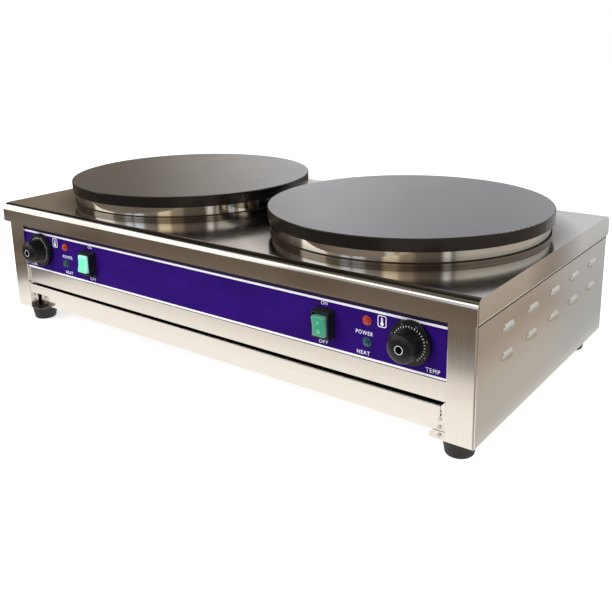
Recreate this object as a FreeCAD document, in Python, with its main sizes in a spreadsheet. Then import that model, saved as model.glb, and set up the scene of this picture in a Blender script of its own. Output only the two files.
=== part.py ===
import FreeCAD, Part
import math
import os
import re
import Sketcher

# Double-plate electric crepe maker, millimetres.
# +X is to the cook's right, +Y to the back, +Z up. The origin is on the table under the middle.

DRIVING_SIZES = [
    # the plates and the room the casing leaves round them
    ("plate_diameter", 400),
    ("plate_gap", 28),
    ("plate_side_margin", 16),
    ("plate_front_margin", 31),
    ("plate_rear_margin", 19),
    # the casing
    ("body_bottom", 25.9),
    ("cover_top", 204.4),
    ("cover_drop", 29.6),
    ("nose_radius", 12),
    ("sheet", 1.5),
    ("cover_gap", 0.8),
    ("thin_sheet", 1.2),
    ("fit_gap", 0.3),
    ("post_setback", 8),
    ("post_face", 36.2),
    ("post_return", 22),
    ("corner_return", 14),
    ("bend_radius", 2),
    ("panel_setback", 12),
    ("panel_bottom", 71.8),
    ("panel_flange", 12),
    ("overlay_film", 0.6),
    ("overlay_bottom", 96.9),
    ("overlay_top", 166.6),
    # louvres in each side panel
    ("louvre_pitch", 74.6),
    ("louvre_first", 91),
    ("louvre_rear_room", 45),
    ("louvre_low", 108),
    ("louvre_row_pitch", 34.5),
    ("louvre_radius", 12),
    ("louvre_sink", 8.5),
    ("louvre_straight", 17),
    # the plates' thickness and what stands under them
    ("plate_rim", 16.8),
    ("plate_edge", 1.2),
    ("plate_spigot", 3),
    ("plate_recess", 5),
    ("skirt_height", 15.6),
    ("skirt_inset", 5),
    ("collar_height", 4),
    ("collar_inset", 3),
    ("collar_ledge", 9),
    ("shield_depth", 30),
    ("shield_flange", 6),
    ("shield_room", 1.3),
    ("element_rod", 8),
    ("element_outer", 130),
    ("element_inner", 80),
    ("element_opening", 30),
    ("element_tail", 44),
    ("clamp_radius", 150),
    ("blanket_thickness", 14),
    ("stud_circle", 105),
    ("stud_radius", 3),
    ("stud_sink", 8),
    ("nut_width", 10),
    ("nut_height", 5),
    # the controls
    ("knob_inset", 84),
    ("knob_z", 135),
    ("dial_radius", 27.3),
    ("dial_thickness", 6.4),
    ("dial_wall", 2.5),
    ("dial_lift", 1),
    ("dial_taper", 0.8),
    ("grip_length", 22.5),
    ("grip_root", 18.8),
    ("grip_nose", 17.8),
    ("grip_round", 6.5),
    ("cap_radius", 7),
    ("cap_thickness", 1.5),
    ("cap_chamfer", 0.6),
    ("shaft_radius", 3),
    ("shaft_play", 0.05),
    ("shaft_reach", 14),
    ("thermostat_width", 40),
    ("thermostat_height", 34),
    ("thermostat_depth", 32),
    ("thermostat_screw_pitch", 28),
    ("bush_wall", 2),
    ("bulb_radius", 3),
    ("bulb_length", 90),
    ("capillary_radius", 1.25),
    ("capillary_bend", 8),
    ("capillary_room", 3.5),
    ("switch_from_lamp", 60.5),
    ("switch_z", 132),
    ("bezel_width", 28),
    ("bezel_height", 38),
    ("bezel_flange", 3),
    ("bezel_lap", 1.2),
    ("collar_wall", 2.1),
    ("collar_proud", 12.5),
    ("switch_body_depth", 30),
    ("switch_base", 8),
    ("rocker_width", 20.6),
    ("rocker_height", 27),
    ("rocker_play", 0.3),
    ("rocker_room", 3.2),
    ("rocker_swing", 12),
    ("rocker_proud", 3),
    ("rocker_crown", 14),
    ("rocker_dip", 1.5),
    ("pivot_radius", 1.5),
    ("pivot_play", 0.05),
    ("pivot_seat", 0.7),
    ("lamp_from_knob", 60.5),
    ("power_lamp_z", 147.5),
    ("heat_lamp_z", 120.5),
    ("lamp_radius", 6.2),
    ("lamp_rim", 1.6),
    ("lens_radius", 4.4),
    ("lens_proud", 5),
    ("lens_plug", 3.6),
    ("lens_plug_depth", 3.2),
    ("lamp_body_radius", 4.8),
    ("lamp_body_length", 24),
    # the pull-out tray
    ("tray_side_gap", 5.4),
    ("tray_setback", 26),
    ("tray_top", 69),
    ("tray_lift", 0.4),
    ("lip_reach", 19.5),
    ("lip_height", 14),
    ("lip_hem", 5),
    ("tray_rear_gap", 28),
    ("tray_wall_height", 36),
    ("tray_wall_inset", 5),
    ("rivet_radius", 2.4),
    ("rivet_head", 0.9),
    ("rivet_pitch", 9.5),
    # rails, feet and deck
    ("rail_reach", 59.2),
    ("rail_front", 10),
    ("rail_leg", 34),
    ("rail_corner", 9),
    ("guide_height", 16),
    ("guide_gap", 2),
    ("foot_x", 33.3),
    ("foot_y", 37.3),
    ("foot_bottom_radius", 17.5),
    ("foot_top_radius", 21.5),
    ("foot_bolt_radius", 3),
    ("foot_bore_play", 0.3),
    ("bolt_head_radius", 6),
    ("bolt_head_height", 4),
    ("foot_floor", 6),
    ("foot_edge", 1.5),
    ("bolt_spare", 3),
    ("deck_height", 76),
    # the back
    ("gland_inset", 130),
    ("gland_z", 112),
    ("gland_proud", 20),
    ("gland_bore", 6.5),
    ("gland_thread", 12.5),
    ("gland_collar", 16.5),
    ("gland_nut_radius", 15),
    ("gland_inside", 13.5),
    ("earth_from_gland", 50),
    ("earth_z", 112),
    ("earth_radius", 3),
    ("earth_proud", 17),
    ("earth_inside", 15.5),
    ("earth_tip_radius", 2.5),
    ("earth_groove_radius", 2.1),
    ("earth_groove", 1.5),
    ("slot_length", 60),
    ("slot_height", 5),
    ("slot_count", 5),
    ("slot_pitch", 81),
    ("slot_row_pitch", 15),
    ("slot_z", 128),
    ("screw_radius", 2),
    ("screw_head_radius", 3.6),
    ("screw_head", 2),
    ("screw_length", 8),
    ("rear_screw_inset", 8),
    ("rear_screw_low", 40),
    ("rear_screw_high", 120),
    ("terminal_length", 60),
    ("terminal_depth", 26),
    ("terminal_height", 24),
    ("terminal_shift", 70),
    ("terminal_back", 40),
    ("terminal_well", 2.5),
    ("terminal_well_depth", 8),
]

# Lengths and places that follow from the driving sizes
FOLLOWING_SIZES = [
    ("body_width", "2 * plate_diameter + plate_gap + 2 * plate_side_margin"),
    ("body_depth", "plate_diameter + plate_front_margin + plate_rear_margin"),
    ("plate_x", "(plate_diameter + plate_gap) / 2"),
    ("plate_y", "(plate_front_margin - plate_rear_margin) / 2"),
    ("knob_x", "body_width / 2 - knob_inset"),
    ("lamp_x", "knob_x - lamp_from_knob"),
    ("switch_x", "lamp_x - switch_from_lamp"),
    ("gland_x", "body_width / 2 - gland_inset"),
    ("earth_x", "gland_x - earth_from_gland"),
    ("tray_depth", "body_depth - tray_setback - tray_rear_gap"),
    ("louvre_count", "floor((body_depth - louvre_first - louvre_rear_room) / louvre_pitch) + 1"),
]

value = dict(DRIVING_SIZES)
names = list(value) + [alias for alias, formula in FOLLOWING_SIZES]

# Planes and heights that several pieces share, as expressions in the driving sizes
FRONT = "(-body_depth / 2)"
BACK = "(body_depth / 2)"
SIDE_OUTER = "(body_width / 2 - sheet - cover_gap)"
SIDE_INNER = f"({SIDE_OUTER} - sheet)"
POST_INNER = f"({SIDE_OUTER} - post_face)"
POST_FRONT = f"({FRONT} + post_setback)"
PANEL_FRONT = f"({FRONT} + panel_setback)"
PANEL_BACK = f"({PANEL_FRONT} + sheet)"
OVERLAY_FRONT = f"({PANEL_FRONT} - overlay_film)"
REAR_OUTER = f"({BACK} - sheet)"
REAR_INNER = f"({REAR_OUTER} - sheet)"
WALL_TOP = "(cover_top - nose_radius)"
COVER_SCREW_Z = "(cover_top - cover_drop * 3 / 4)"
SKIRT_BOTTOM = "(cover_top + collar_height)"
PLATE_BOTTOM = f"({SKIRT_BOTTOM} + skirt_height)"
PLATE_UNDER = f"({PLATE_BOTTOM} + plate_recess)"
PLATE_TOP = f"({PLATE_BOTTOM} + plate_rim)"
PLATE_RADIUS = "(plate_diameter / 2)"
SKIRT_RADIUS = f"({PLATE_RADIUS} - skirt_inset)"
COLLAR_RADIUS = f"({PLATE_RADIUS} - collar_inset)"
LEDGE_RADIUS = f"({COLLAR_RADIUS} - collar_ledge)"
SHIELD_RADIUS = f"({LEDGE_RADIUS} - shield_room)"
SHIELD_FLOOR = f"({SKIRT_BOTTOM} + thin_sheet - shield_depth)"
ELEMENT_Z = f"({PLATE_UNDER} - element_rod / 2)"
CLAMP_TOP = f"({PLATE_UNDER} - element_rod)"
DIAL_BACK = f"({OVERLAY_FRONT} - dial_lift)"
COLLAR_FRONT = f"({OVERLAY_FRONT} - collar_proud)"
PIVOT_Y = f"({COLLAR_FRONT} - rocker_proud + rocker_crown - rocker_dip)"
RAIL_TOP = "(body_bottom)"
RAIL_BOTTOM = "(body_bottom - sheet)"
TRAY_BOTTOM = "(body_bottom + tray_lift)"
TRAY_FRONT = f"({FRONT} + tray_setback)"
TRAY_HALF = f"({POST_INNER} - tray_side_gap)"
GUIDE_INNER = f"({TRAY_HALF} + guide_gap)"

UPRIGHT = FreeCAD.Rotation()
FACING_FRONT = FreeCAD.Rotation(FreeCAD.Vector(1, 0, 0), 90)
FACING_BACK = FreeCAD.Rotation(FreeCAD.Vector(1, 0, 0), -90)
FACING_RIGHT = FreeCAD.Rotation(FreeCAD.Vector(0, 1, 0), 90)
SIDES = (("left", -1), ("right", 1))

doc = FreeCAD.newDocument("crepe_maker")
sheet_of_sizes = doc.addObject("Spreadsheet::Sheet", "sizes")
for row, (alias, size) in enumerate(DRIVING_SIZES, start=1):
    sheet_of_sizes.set(f"A{row}", alias)
    sheet_of_sizes.set(f"B{row}", str(size))
    sheet_of_sizes.setAlias(f"B{row}", alias)
for row, (alias, formula) in enumerate(FOLLOWING_SIZES, start=len(DRIVING_SIZES) + 1):
    sheet_of_sizes.set(f"A{row}", alias)
    sheet_of_sizes.set(f"B{row}", f"={formula}")
    sheet_of_sizes.setAlias(f"B{row}", alias)
doc.recompute()

alias_pattern = re.compile(r"\b(" + "|".join(sorted(names, key=len, reverse=True)) + r")\b")
pieces = []


def bind(thing, prop, expression):
    """Tie one property to an expression written in the sheet's aliases."""
    thing.setExpression(prop, alias_pattern.sub(r"sizes.\1", str(expression)))


def place(thing, x, y, z, turn=UPRIGHT):
    thing.Placement = FreeCAD.Placement(FreeCAD.Vector(), turn)
    bind(thing, "Placement.Base.x", x)
    bind(thing, "Placement.Base.y", y)
    bind(thing, "Placement.Base.z", z)
    return thing


def node(name, thing):
    """Register a finished sub-part: its label names its file."""
    thing.Label = name
    pieces.append(thing)
    return thing


def mirrored(sign, expression):
    return expression if sign > 0 else f"-({expression})"


def box(x0, x1, y0, y1, z0, z1):
    """A block between two corners."""
    block = doc.addObject("Part::Box", "block")
    bind(block, "Length", f"({x1}) - ({x0})")
    bind(block, "Width", f"({y1}) - ({y0})")
    bind(block, "Height", f"({z1}) - ({z0})")
    return place(block, x0, y0, z0)


def side_box(sign, inner, outer, y0, y1, z0, z1):
    """A block on one side of the middle, given by its distances from it."""
    if sign > 0:
        return box(inner, outer, y0, y1, z0, z1)
    return box(f"-({outer})", f"-({inner})", y0, y1, z0, z1)


def rod(radius, length, x, y, z, turn=UPRIGHT):
    """A round bar that starts at a point and runs the way it is turned."""
    bar = doc.addObject("Part::Cylinder", "rod")
    bind(bar, "Radius", radius)
    bind(bar, "Height", length)
    return place(bar, x, y, z, turn)


def ball(radius, x, y, z):
    sphere = doc.addObject("Part::Sphere", "ball")
    bind(sphere, "Radius", radius)
    return place(sphere, x, y, z)


def hexagon(width, height, x, y, z, turn=UPRIGHT):
    """A hexagon nut or head, width across its flats."""
    prism = doc.addObject("Part::Prism", "hexagon")
    prism.Polygon = 6
    bind(prism, "Circumradius", f"({width}) / 2 / cos(30)")
    bind(prism, "Height", height)
    return place(prism, x, y, z, turn)


def join(*things):
    fused = doc.addObject("Part::MultiFuse", "join")
    fused.Shapes = list(things)
    return fused


def cut(base, *tools):
    result = doc.addObject("Part::Cut", "cut")
    result.Base = base
    result.Tool = tools[0] if len(tools) == 1 else join(*tools)
    return result


def overlap(first, second):
    both = doc.addObject("Part::Common", "overlap")
    both.Base = first
    both.Tool = second
    return both


def group(*things):
    """Identical fasteners that share one node, each still its own solid."""
    compound = doc.addObject("Part::Compound", "group")
    compound.Links = list(things)
    return compound


def new_body(name):
    return doc.addObject("PartDesign::Body", name)


def outline_sketch(body, role, corners):
    """A closed outline of straight lines, every corner tied to the sheet."""
    sketch = body.newObject("Sketcher::SketchObject", "outline")
    plane = next(f for f in body.Origin.OriginFeatures if f.Role == role)
    sketch.AttachmentSupport = [(plane, "")]
    sketch.MapMode = "FlatFace"
    points = [tuple(number(part) for part in corner) for corner in corners]
    count = len(points)
    for i in range(count):
        start = FreeCAD.Vector(*points[i], 0)
        end = FreeCAD.Vector(*points[(i + 1) % count], 0)
        sketch.addGeometry(Part.LineSegment(start, end))
    for i in range(count):
        sketch.addConstraint(Sketcher.Constraint("Coincident", i, 2, (i + 1) % count, 1))
    for i, corner in enumerate(corners):
        for kind, axis, guess, expression in (
            ("DistanceX", "across", points[i][0], corner[0]),
            ("DistanceY", "up", points[i][1], corner[1]),
        ):
            index = sketch.addConstraint(Sketcher.Constraint(kind, -1, 1, i, 1, guess))
            sketch.renameConstraint(index, f"{axis}{i}")
            bind(sketch, f"Constraints.{axis}{i}", expression)
    return sketch


def number(expression):
    """The number that an expression of aliases gives, read back from a scratch cell."""
    sheet_of_sizes.set("D1", f"={expression}")
    sheet_of_sizes.recompute()
    return float(sheet_of_sizes.get("D1"))


def turned(name, profile, x="0", y="0", z="0", turn=UPRIGHT):
    """A turned piece: its half profile as (radius, height) corners, revolved once."""
    body = new_body(name)
    sketch = outline_sketch(body, "XZ_Plane", profile)
    spin = body.newObject("PartDesign::Revolution", "spin")
    spin.Profile = sketch
    spin.ReferenceAxis = (sketch, ["V_Axis"])
    spin.Angle = 360
    place(body, x, y, z, turn)
    return body


def pressed(name, role, corners, length):
    """A profile extruded to both sides of its plane."""
    body = new_body(name)
    sketch = outline_sketch(body, role, corners)
    pad = body.newObject("PartDesign::Pad", "pad")
    pad.Profile = sketch
    pad.SideType = "Symmetric"
    bind(pad, "Length", length)
    return body


def round_edges(body, radius, wanted):
    """Fillet the edges of a body's tip that a test picks."""
    doc.recompute()
    base = body.Tip
    names = [f"Edge{i}" for i, edge in enumerate(base.Shape.Edges, start=1) if wanted(edge)]
    fillet = body.newObject("PartDesign::Fillet", "bend")
    fillet.Base = (base, names)
    bind(fillet, "Radius", radius)
    return fillet


def level(edge, axis, at):
    """True where an edge lies wholly at one height along X, Y or Z."""
    places = [getattr(vertex.Point, axis) for vertex in edge.Vertexes]
    return max(abs(place - at) for place in places) < 0.01


def along(edge, axis):
    ends = edge.Vertexes
    if len(ends) != 2:
        return False
    run = ends[1].Point - ends[0].Point
    return abs(getattr(run, axis)) > 0.99 * run.Length


def sheet_cover():
    """The cover: one sheet bent down on all four sides, with a rolled nose front and back."""
    body = new_body("cover_blank")
    half_width = "body_width / 2"
    bottom = "cover_top - cover_drop"
    corners = [(FRONT, bottom), (BACK, bottom), (BACK, "cover_top"), (FRONT, "cover_top")]
    sketch = outline_sketch(body, "YZ_Plane", corners)
    pad = body.newObject("PartDesign::Pad", "blank")
    pad.Profile = sketch
    pad.SideType = "Symmetric"
    bind(pad, "Length", f"2 * {half_width}")
    top = value["cover_top"]
    round_edges(body, "nose_radius", lambda edge: along(edge, "x") and level(edge, "z", top))
    doc.recompute()
    rounded = body.Tip
    under = min(range(len(rounded.Shape.Faces)),
                key=lambda i: rounded.Shape.Faces[i].CenterOfMass.z)
    shell = body.newObject("PartDesign::Thickness", "bent_sheet")
    shell.Base = (rounded, [f"Face{under + 1}"])
    shell.Reversed = True
    shell.Join = 0
    bind(shell, "Value", "sheet")
    hem = box(f"-({half_width} - sheet)", f"{half_width} - sheet", f"{FRONT} + sheet",
              f"{POST_FRONT} - fit_gap", bottom, f"{bottom} + sheet")
    holes = [rod(LEDGE_RADIUS, "3 * sheet", mirrored(sign, "plate_x"), "plate_y", "cover_top - 2 * sheet")
             for _, sign in SIDES]
    screws = [rod("screw_radius", "3 * sheet", x, f"{BACK} - 2 * sheet", COVER_SCREW_Z, FACING_BACK)
              for x in cover_screw_places()]
    node("top_cover", cut(join(body, hem), *holes, *screws))


def cover_screw_places():
    return ["-body_width * 0.4", "0 * body_width", "body_width * 0.4"]


def corner_post(side, sign):
    """A front post: a bent channel whose face carries the corner and whose returns run back."""
    face = side_box(sign, POST_INNER, SIDE_INNER, POST_FRONT, f"{POST_FRONT} + sheet", "body_bottom", WALL_TOP)
    inner = side_box(sign, POST_INNER, f"{POST_INNER} + sheet", POST_FRONT,
                     f"{POST_FRONT} + post_return", "body_bottom", WALL_TOP)
    outer = side_box(sign, f"{SIDE_INNER} - sheet", SIDE_INNER, POST_FRONT,
                     f"{POST_FRONT} + corner_return", "body_bottom", WALL_TOP)
    channel = join(face, inner, outer)
    doc.recompute()
    front = number(POST_FRONT)
    corner = doc.addObject("Part::Fillet", "post_bends")
    corner.Base = channel
    corner.Edges = [(i, value["bend_radius"] * 0.6, value["bend_radius"] * 0.6)
                    for i, edge in enumerate(channel.Shape.Edges, start=1)
                    if along(edge, "z") and level(edge, "y", front)]
    node(f"post_{side}", corner)


def louvre_capsule(sign, row, index, radius, sink):
    """The round-ended bar whose skin is one louvre's hood."""
    x = mirrored(sign, f"{SIDE_OUTER} - {sink}")
    y = f"{FRONT} + louvre_first + {index} * louvre_pitch"
    z = f"louvre_low + {row} * louvre_row_pitch"
    start = f"{y} - louvre_straight / 2"
    end = f"{y} + louvre_straight / 2"
    bar = rod(radius, "louvre_straight", x, start, z, FACING_BACK)
    return join(bar, ball(radius, x, start, z), ball(radius, x, end, z))


def side_panel(side, sign):
    """A side panel with two rows of pressed louvres, each open downwards."""
    panel = side_box(sign, SIDE_INNER, SIDE_OUTER, f"{POST_FRONT} + bend_radius", REAR_OUTER,
                     "body_bottom", WALL_TOP)
    places = [(row, index) for row in range(2) for index in range(round(number("louvre_count")))]
    outer = join(*[louvre_capsule(sign, row, index, "louvre_radius", "louvre_sink")
                   for row, index in places])
    inner = join(*[louvre_capsule(sign, row, index, "louvre_radius - thin_sheet", "louvre_sink")
                   for row, index in places])

    def upper_half(first, last):
        bands = [side_box(sign, first, last, FRONT, BACK, f"louvre_low + {row} * louvre_row_pitch",
                          f"louvre_low + {row} * louvre_row_pitch + louvre_radius") for row in range(2)]
        return join(*bands)

    hoods = overlap(outer, upper_half(SIDE_INNER, f"{SIDE_OUTER} + louvre_radius"))
    openings = overlap(inner, upper_half(f"{SIDE_INNER} - sheet", f"{SIDE_OUTER} + louvre_radius"))
    node(f"side_panel_{side}", cut(join(panel, hoods), openings))


def front_panel():
    """The control panel sheet and its printed film, with the controls' openings."""
    inner = f"{POST_INNER} - fit_gap"
    sheet = box(f"-({inner})", inner, PANEL_FRONT, PANEL_BACK, "panel_bottom", WALL_TOP)
    flange = box(f"-({inner})", inner, PANEL_FRONT, f"{PANEL_FRONT} + panel_flange",
                 "panel_bottom", "panel_bottom + sheet")
    node("front_panel", cut(join(sheet, flange), *control_openings()))
    film = box(f"-({inner})", inner, OVERLAY_FRONT, PANEL_FRONT, "overlay_bottom", "overlay_top")
    node("control_overlay", cut(film, *control_openings()))


def control_openings():
    """Fresh cutters for every control, from just in front of the film to behind the panel."""
    start = f"{OVERLAY_FRONT} - 1"
    through = "overlay_film + sheet + 2"
    cutters = []
    for _, sign in SIDES:
        knob_x = mirrored(sign, "knob_x")
        lamp_x = mirrored(sign, "lamp_x")
        cutters.append(rod("shaft_radius + bush_wall + fit_gap", through, knob_x, start, "knob_z", FACING_BACK))
        for shift in ("-thermostat_screw_pitch / 2", "thermostat_screw_pitch / 2"):
            cutters.append(rod("screw_radius + shaft_play", through, f"{knob_x} + {shift}", start,
                               "knob_z", FACING_BACK))
        for lamp_z in ("power_lamp_z", "heat_lamp_z"):
            cutters.append(rod("lamp_body_radius + shaft_play", through, lamp_x, start, lamp_z,
                               FACING_BACK))
        half_width = "(bezel_width / 2 - bezel_lap)"
        half_height = "(bezel_height / 2 - bezel_lap)"
        cutters.append(side_box(sign, f"switch_x - {half_width}", f"switch_x + {half_width}", start,
                                f"{start} + {through}", f"switch_z - {half_height}",
                                f"switch_z + {half_height}"))
    return cutters


def back_and_deck():
    """The rear panel, and the deck that closes the wiring space above the tray."""
    panel = box(f"-{SIDE_INNER}", SIDE_INNER, REAR_INNER, REAR_OUTER, "body_bottom", WALL_TOP)
    start = f"{REAR_INNER} - sheet"
    cutters = [
        rod("gland_thread + shaft_play", "3 * sheet", "-gland_x", start, "gland_z", FACING_BACK),
        rod("earth_radius + shaft_play", "3 * sheet", "earth_x", start, "earth_z", FACING_BACK),
    ]
    screw_places = rear_screw_places() + [(x, COVER_SCREW_Z) for x in cover_screw_places()]
    cutters += [rod("screw_radius", "3 * sheet", x, start, z, FACING_BACK) for x, z in screw_places]
    for row in range(2):
        for index in range(int(value["slot_count"])):
            middle = f"({index} - (slot_count - 1) / 2) * slot_pitch"
            bottom = f"slot_z + {row} * slot_row_pitch"
            cutters.append(box(f"{middle} - slot_length / 2", f"{middle} + slot_length / 2", start,
                               f"{start} + 3 * sheet", bottom, f"{bottom} + slot_height"))
    node("rear_panel", cut(panel, *cutters))
    inner = f"{SIDE_INNER} - sheet - fit_gap"
    front = f"{POST_FRONT} + post_return + fit_gap"
    floor = box(f"-({inner})", inner, front, f"{REAR_INNER} - fit_gap", "deck_height",
                "deck_height + thin_sheet")
    curbs = [side_box(sign, f"{inner} - thin_sheet", inner, front, f"{REAR_INNER} - fit_gap",
                      "deck_height", "deck_height + panel_flange") for _, sign in SIDES]
    node("deck_plate", join(floor, *curbs))


def rear_screw_places():
    edge = f"{SIDE_INNER} - rear_screw_inset"
    heights = ("body_bottom + rear_screw_low", "body_bottom + rear_screw_high")
    return [(mirrored(sign, edge), z) for _, sign in SIDES for z in heights]


def plate_stack(side, sign):
    """One cooking plate with its skirt, collar, element, clamp, blanket and pan."""
    x = mirrored(sign, "plate_x")
    y = "plate_y"
    spigot = f"{SKIRT_RADIUS} - thin_sheet - fit_gap"
    plate = turned(f"plate_blank_{side}", [
        ("0", PLATE_TOP),
        ("0", PLATE_UNDER),
        (f"{spigot} - plate_spigot", PLATE_UNDER),
        (f"{spigot} - plate_spigot", f"{PLATE_BOTTOM} - plate_spigot"),
        (spigot, f"{PLATE_BOTTOM} - plate_spigot"),
        (spigot, PLATE_BOTTOM),
        (PLATE_RADIUS, PLATE_BOTTOM),
        (PLATE_RADIUS, PLATE_TOP),
    ], x, y)
    top = number(PLATE_TOP)
    round_edges(plate, "plate_edge", lambda edge: level(edge, "z", top) and edge.Length > 1)
    node(f"crepe_plate_{side}", cut(plate, *stud_bars(sign, "stud_radius", "stud_sink + 1")))
    node(f"plate_skirt_{side}", turned(f"skirt_{side}", [
        (f"{SKIRT_RADIUS} - thin_sheet", SKIRT_BOTTOM),
        (SKIRT_RADIUS, SKIRT_BOTTOM),
        (SKIRT_RADIUS, PLATE_BOTTOM),
        (f"{SKIRT_RADIUS} - thin_sheet", PLATE_BOTTOM),
    ], x, y))
    node(f"plate_collar_{side}", turned(f"collar_{side}", [
        (f"{COLLAR_RADIUS} - thin_sheet", "cover_top"),
        (COLLAR_RADIUS, "cover_top"),
        (COLLAR_RADIUS, SKIRT_BOTTOM),
        (LEDGE_RADIUS, SKIRT_BOTTOM),
        (LEDGE_RADIUS, f"{SKIRT_BOTTOM} - thin_sheet"),
        (f"{COLLAR_RADIUS} - thin_sheet", f"{SKIRT_BOTTOM} - thin_sheet"),
    ], x, y))
    flange = f"{SHIELD_RADIUS} + shield_flange"
    pan = turned(f"pan_{side}", [
        ("0", SHIELD_FLOOR),
        (SHIELD_RADIUS, SHIELD_FLOOR),
        (SHIELD_RADIUS, SKIRT_BOTTOM),
        (flange, SKIRT_BOTTOM),
        (flange, f"{SKIRT_BOTTOM} + thin_sheet"),
        (f"{SHIELD_RADIUS} - thin_sheet", f"{SKIRT_BOTTOM} + thin_sheet"),
        (f"{SHIELD_RADIUS} - thin_sheet", f"{SHIELD_FLOOR} + thin_sheet"),
        ("0", f"{SHIELD_FLOOR} + thin_sheet"),
    ], x, y)
    node(f"heat_pan_{side}", cut(pan, *lead_passages(sign, SHIELD_FLOOR), *stud_bars(sign, "stud_radius + fit_gap")))
    node(f"heating_element_{side}", heating_element(side, sign))


def stud_angles():
    return (45, 135, 225, 315)


def stud_bars(sign, radius, rise="0"):
    """The four studs' bars, from below the pan to a way into the plate."""
    bottom = f"({SHIELD_FLOOR} - nut_height - bolt_spare)"
    bars = []
    for angle in stud_angles():
        x = f"{mirrored(sign, 'plate_x')} + stud_circle * cos({angle})"
        y = f"plate_y + stud_circle * sin({angle})"
        bars.append(rod(radius, f"{PLATE_UNDER} - {bottom} + {rise}", x, y, bottom))
    return bars


def lead_passages(sign, floor):
    """Where the element's two ends and the sensor's capillary pass down."""
    passages = []
    for ring in ("element_outer", "element_inner"):
        angle = f"asin(element_opening / 2 / {ring})"
        tail_x = f"{mirrored(sign, 'plate_x')} + {ring} * sin({angle}) - element_rod * cos({angle})"
        tail_y = f"plate_y - {ring} * cos({angle}) - element_rod * sin({angle})"
        passages.append(rod("element_rod / 2 + 1", "shield_depth", tail_x, tail_y, f"{floor} - shield_depth / 2"))
    passages.append(rod("capillary_room", "shield_depth", mirrored(sign, "plate_x"),
                        "plate_y - element_inner / 2", f"{floor} - shield_depth / 2"))
    return passages


def heating_element(side, sign):
    """A tubular element: a ring, a hairpin bend and an inner ring back, then two tails down."""
    outer = value["element_outer"]
    inner = value["element_inner"]
    half_gap = value["element_opening"] / 2
    middle = (outer + inner) / 2
    turn = (outer - inner) / 2
    drop = value["element_tail"]
    bend = value["element_rod"]

    def at(radius, angle, z=0.0):
        return FreeCAD.Vector(radius * math.sin(angle), -radius * math.cos(angle), z)

    outer_start = math.asin(half_gap / outer)
    inner_start = math.asin(half_gap / inner)
    hairpin = 2 * math.pi - math.asin((half_gap + turn) / middle)
    outer_arc = Part.Arc(at(outer, outer_start), at(outer, math.pi), at(outer, hairpin))
    along_ring = FreeCAD.Vector(math.cos(hairpin), math.sin(hairpin), 0)
    hairpin_arc = Part.Arc(at(outer, hairpin), at(middle, hairpin) + along_ring * turn, at(inner, hairpin))
    inner_arc = Part.Arc(at(inner, hairpin), at(inner, math.pi), at(inner, inner_start))
    edges = [outer_arc.toShape(), hairpin_arc.toShape(), inner_arc.toShape()]

    def tail(radius, start):
        """A quarter bend and a straight end, leaving the ring backwards and downwards."""
        ring_end = at(radius, start)
        back = FreeCAD.Vector(-math.cos(start), -math.sin(start), 0)
        down = FreeCAD.Vector(0, 0, -1)
        corner = ring_end + back * bend
        shoulder = ring_end + down * bend
        mid = shoulder + back * (bend * math.sin(math.pi / 4)) - down * (bend * math.cos(math.pi / 4))
        knee = corner + down * bend
        return Part.Arc(ring_end, mid, knee).toShape(), Part.LineSegment(knee, knee + down * drop).toShape()

    outer_bend, outer_tail = tail(outer, outer_start)
    inner_bend, inner_tail = tail(inner, inner_start)
    path = Part.Wire([outer_tail, outer_bend] + edges + [inner_bend, inner_tail])
    start_vertex = path.OrderedVertexes[0].Point
    section = Part.Wire(Part.Circle(start_vertex, FreeCAD.Vector(0, 0, 1),
                                    value["element_rod"] / 2).toShape())
    element = doc.addObject("Part::Feature", f"element_{side}")
    element.Shape = path.makePipeShell([section], True, False)
    place(element, mirrored(sign, "plate_x"), "plate_y", ELEMENT_Z)
    return element


def hidden_groups():
    """Clamps, blankets, studs and nuts, alike on both plates and sharing a node each."""
    clamps, blankets, studs, nuts = [], [], [], []
    for _, sign in SIDES:
        x = mirrored(sign, "plate_x")
        clamp = rod("clamp_radius", "2 * thin_sheet", x, "plate_y", f"{CLAMP_TOP} - 2 * thin_sheet")
        clamps.append(cut(clamp, *lead_slots(sign), *stud_bars(sign, "stud_radius + fit_gap")))
        blanket = rod(f"{SHIELD_RADIUS} - 2 * thin_sheet", "blanket_thickness", x, "plate_y",
                      f"{SHIELD_FLOOR} + thin_sheet")
        blankets.append(cut(blanket, *lead_slots(sign), *stud_bars(sign, "stud_radius + fit_gap")))
        studs += stud_bars(sign, "stud_radius - shaft_play", "stud_sink")
        for angle in stud_angles():
            nut_x = f"{x} + stud_circle * cos({angle})"
            nut_y = f"plate_y + stud_circle * sin({angle})"
            nut = hexagon("nut_width", "nut_height", nut_x, nut_y, f"{SHIELD_FLOOR} - nut_height")
            hole = rod("stud_radius", "nut_height + 2", nut_x, nut_y, f"{SHIELD_FLOOR} - nut_height - 1")
            nuts.append(cut(nut, hole))
    node("element_clamps", group(*clamps))
    node("insulation_blankets", group(*blankets))
    node("plate_studs", group(*studs))
    node("stud_nuts", group(*nuts))


def lead_slots(sign):
    """Room in front of the middle for both tails, the capillary and the tails' bends."""
    x = mirrored(sign, "plate_x")
    bottom = f"{SHIELD_FLOOR} - nut_height"
    slots = [box(f"{x} - element_opening / 2", f"{x} + element_opening / 2 + element_rod",
                 f"plate_y - {ring} - element_rod", f"plate_y - {ring} + element_rod", bottom, PLATE_UNDER)
             for ring in ("element_outer", "element_inner")]
    slots.append(rod("capillary_room", f"{PLATE_UNDER} - ({bottom})", x, "plate_y - element_inner / 2", bottom))
    return slots


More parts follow.
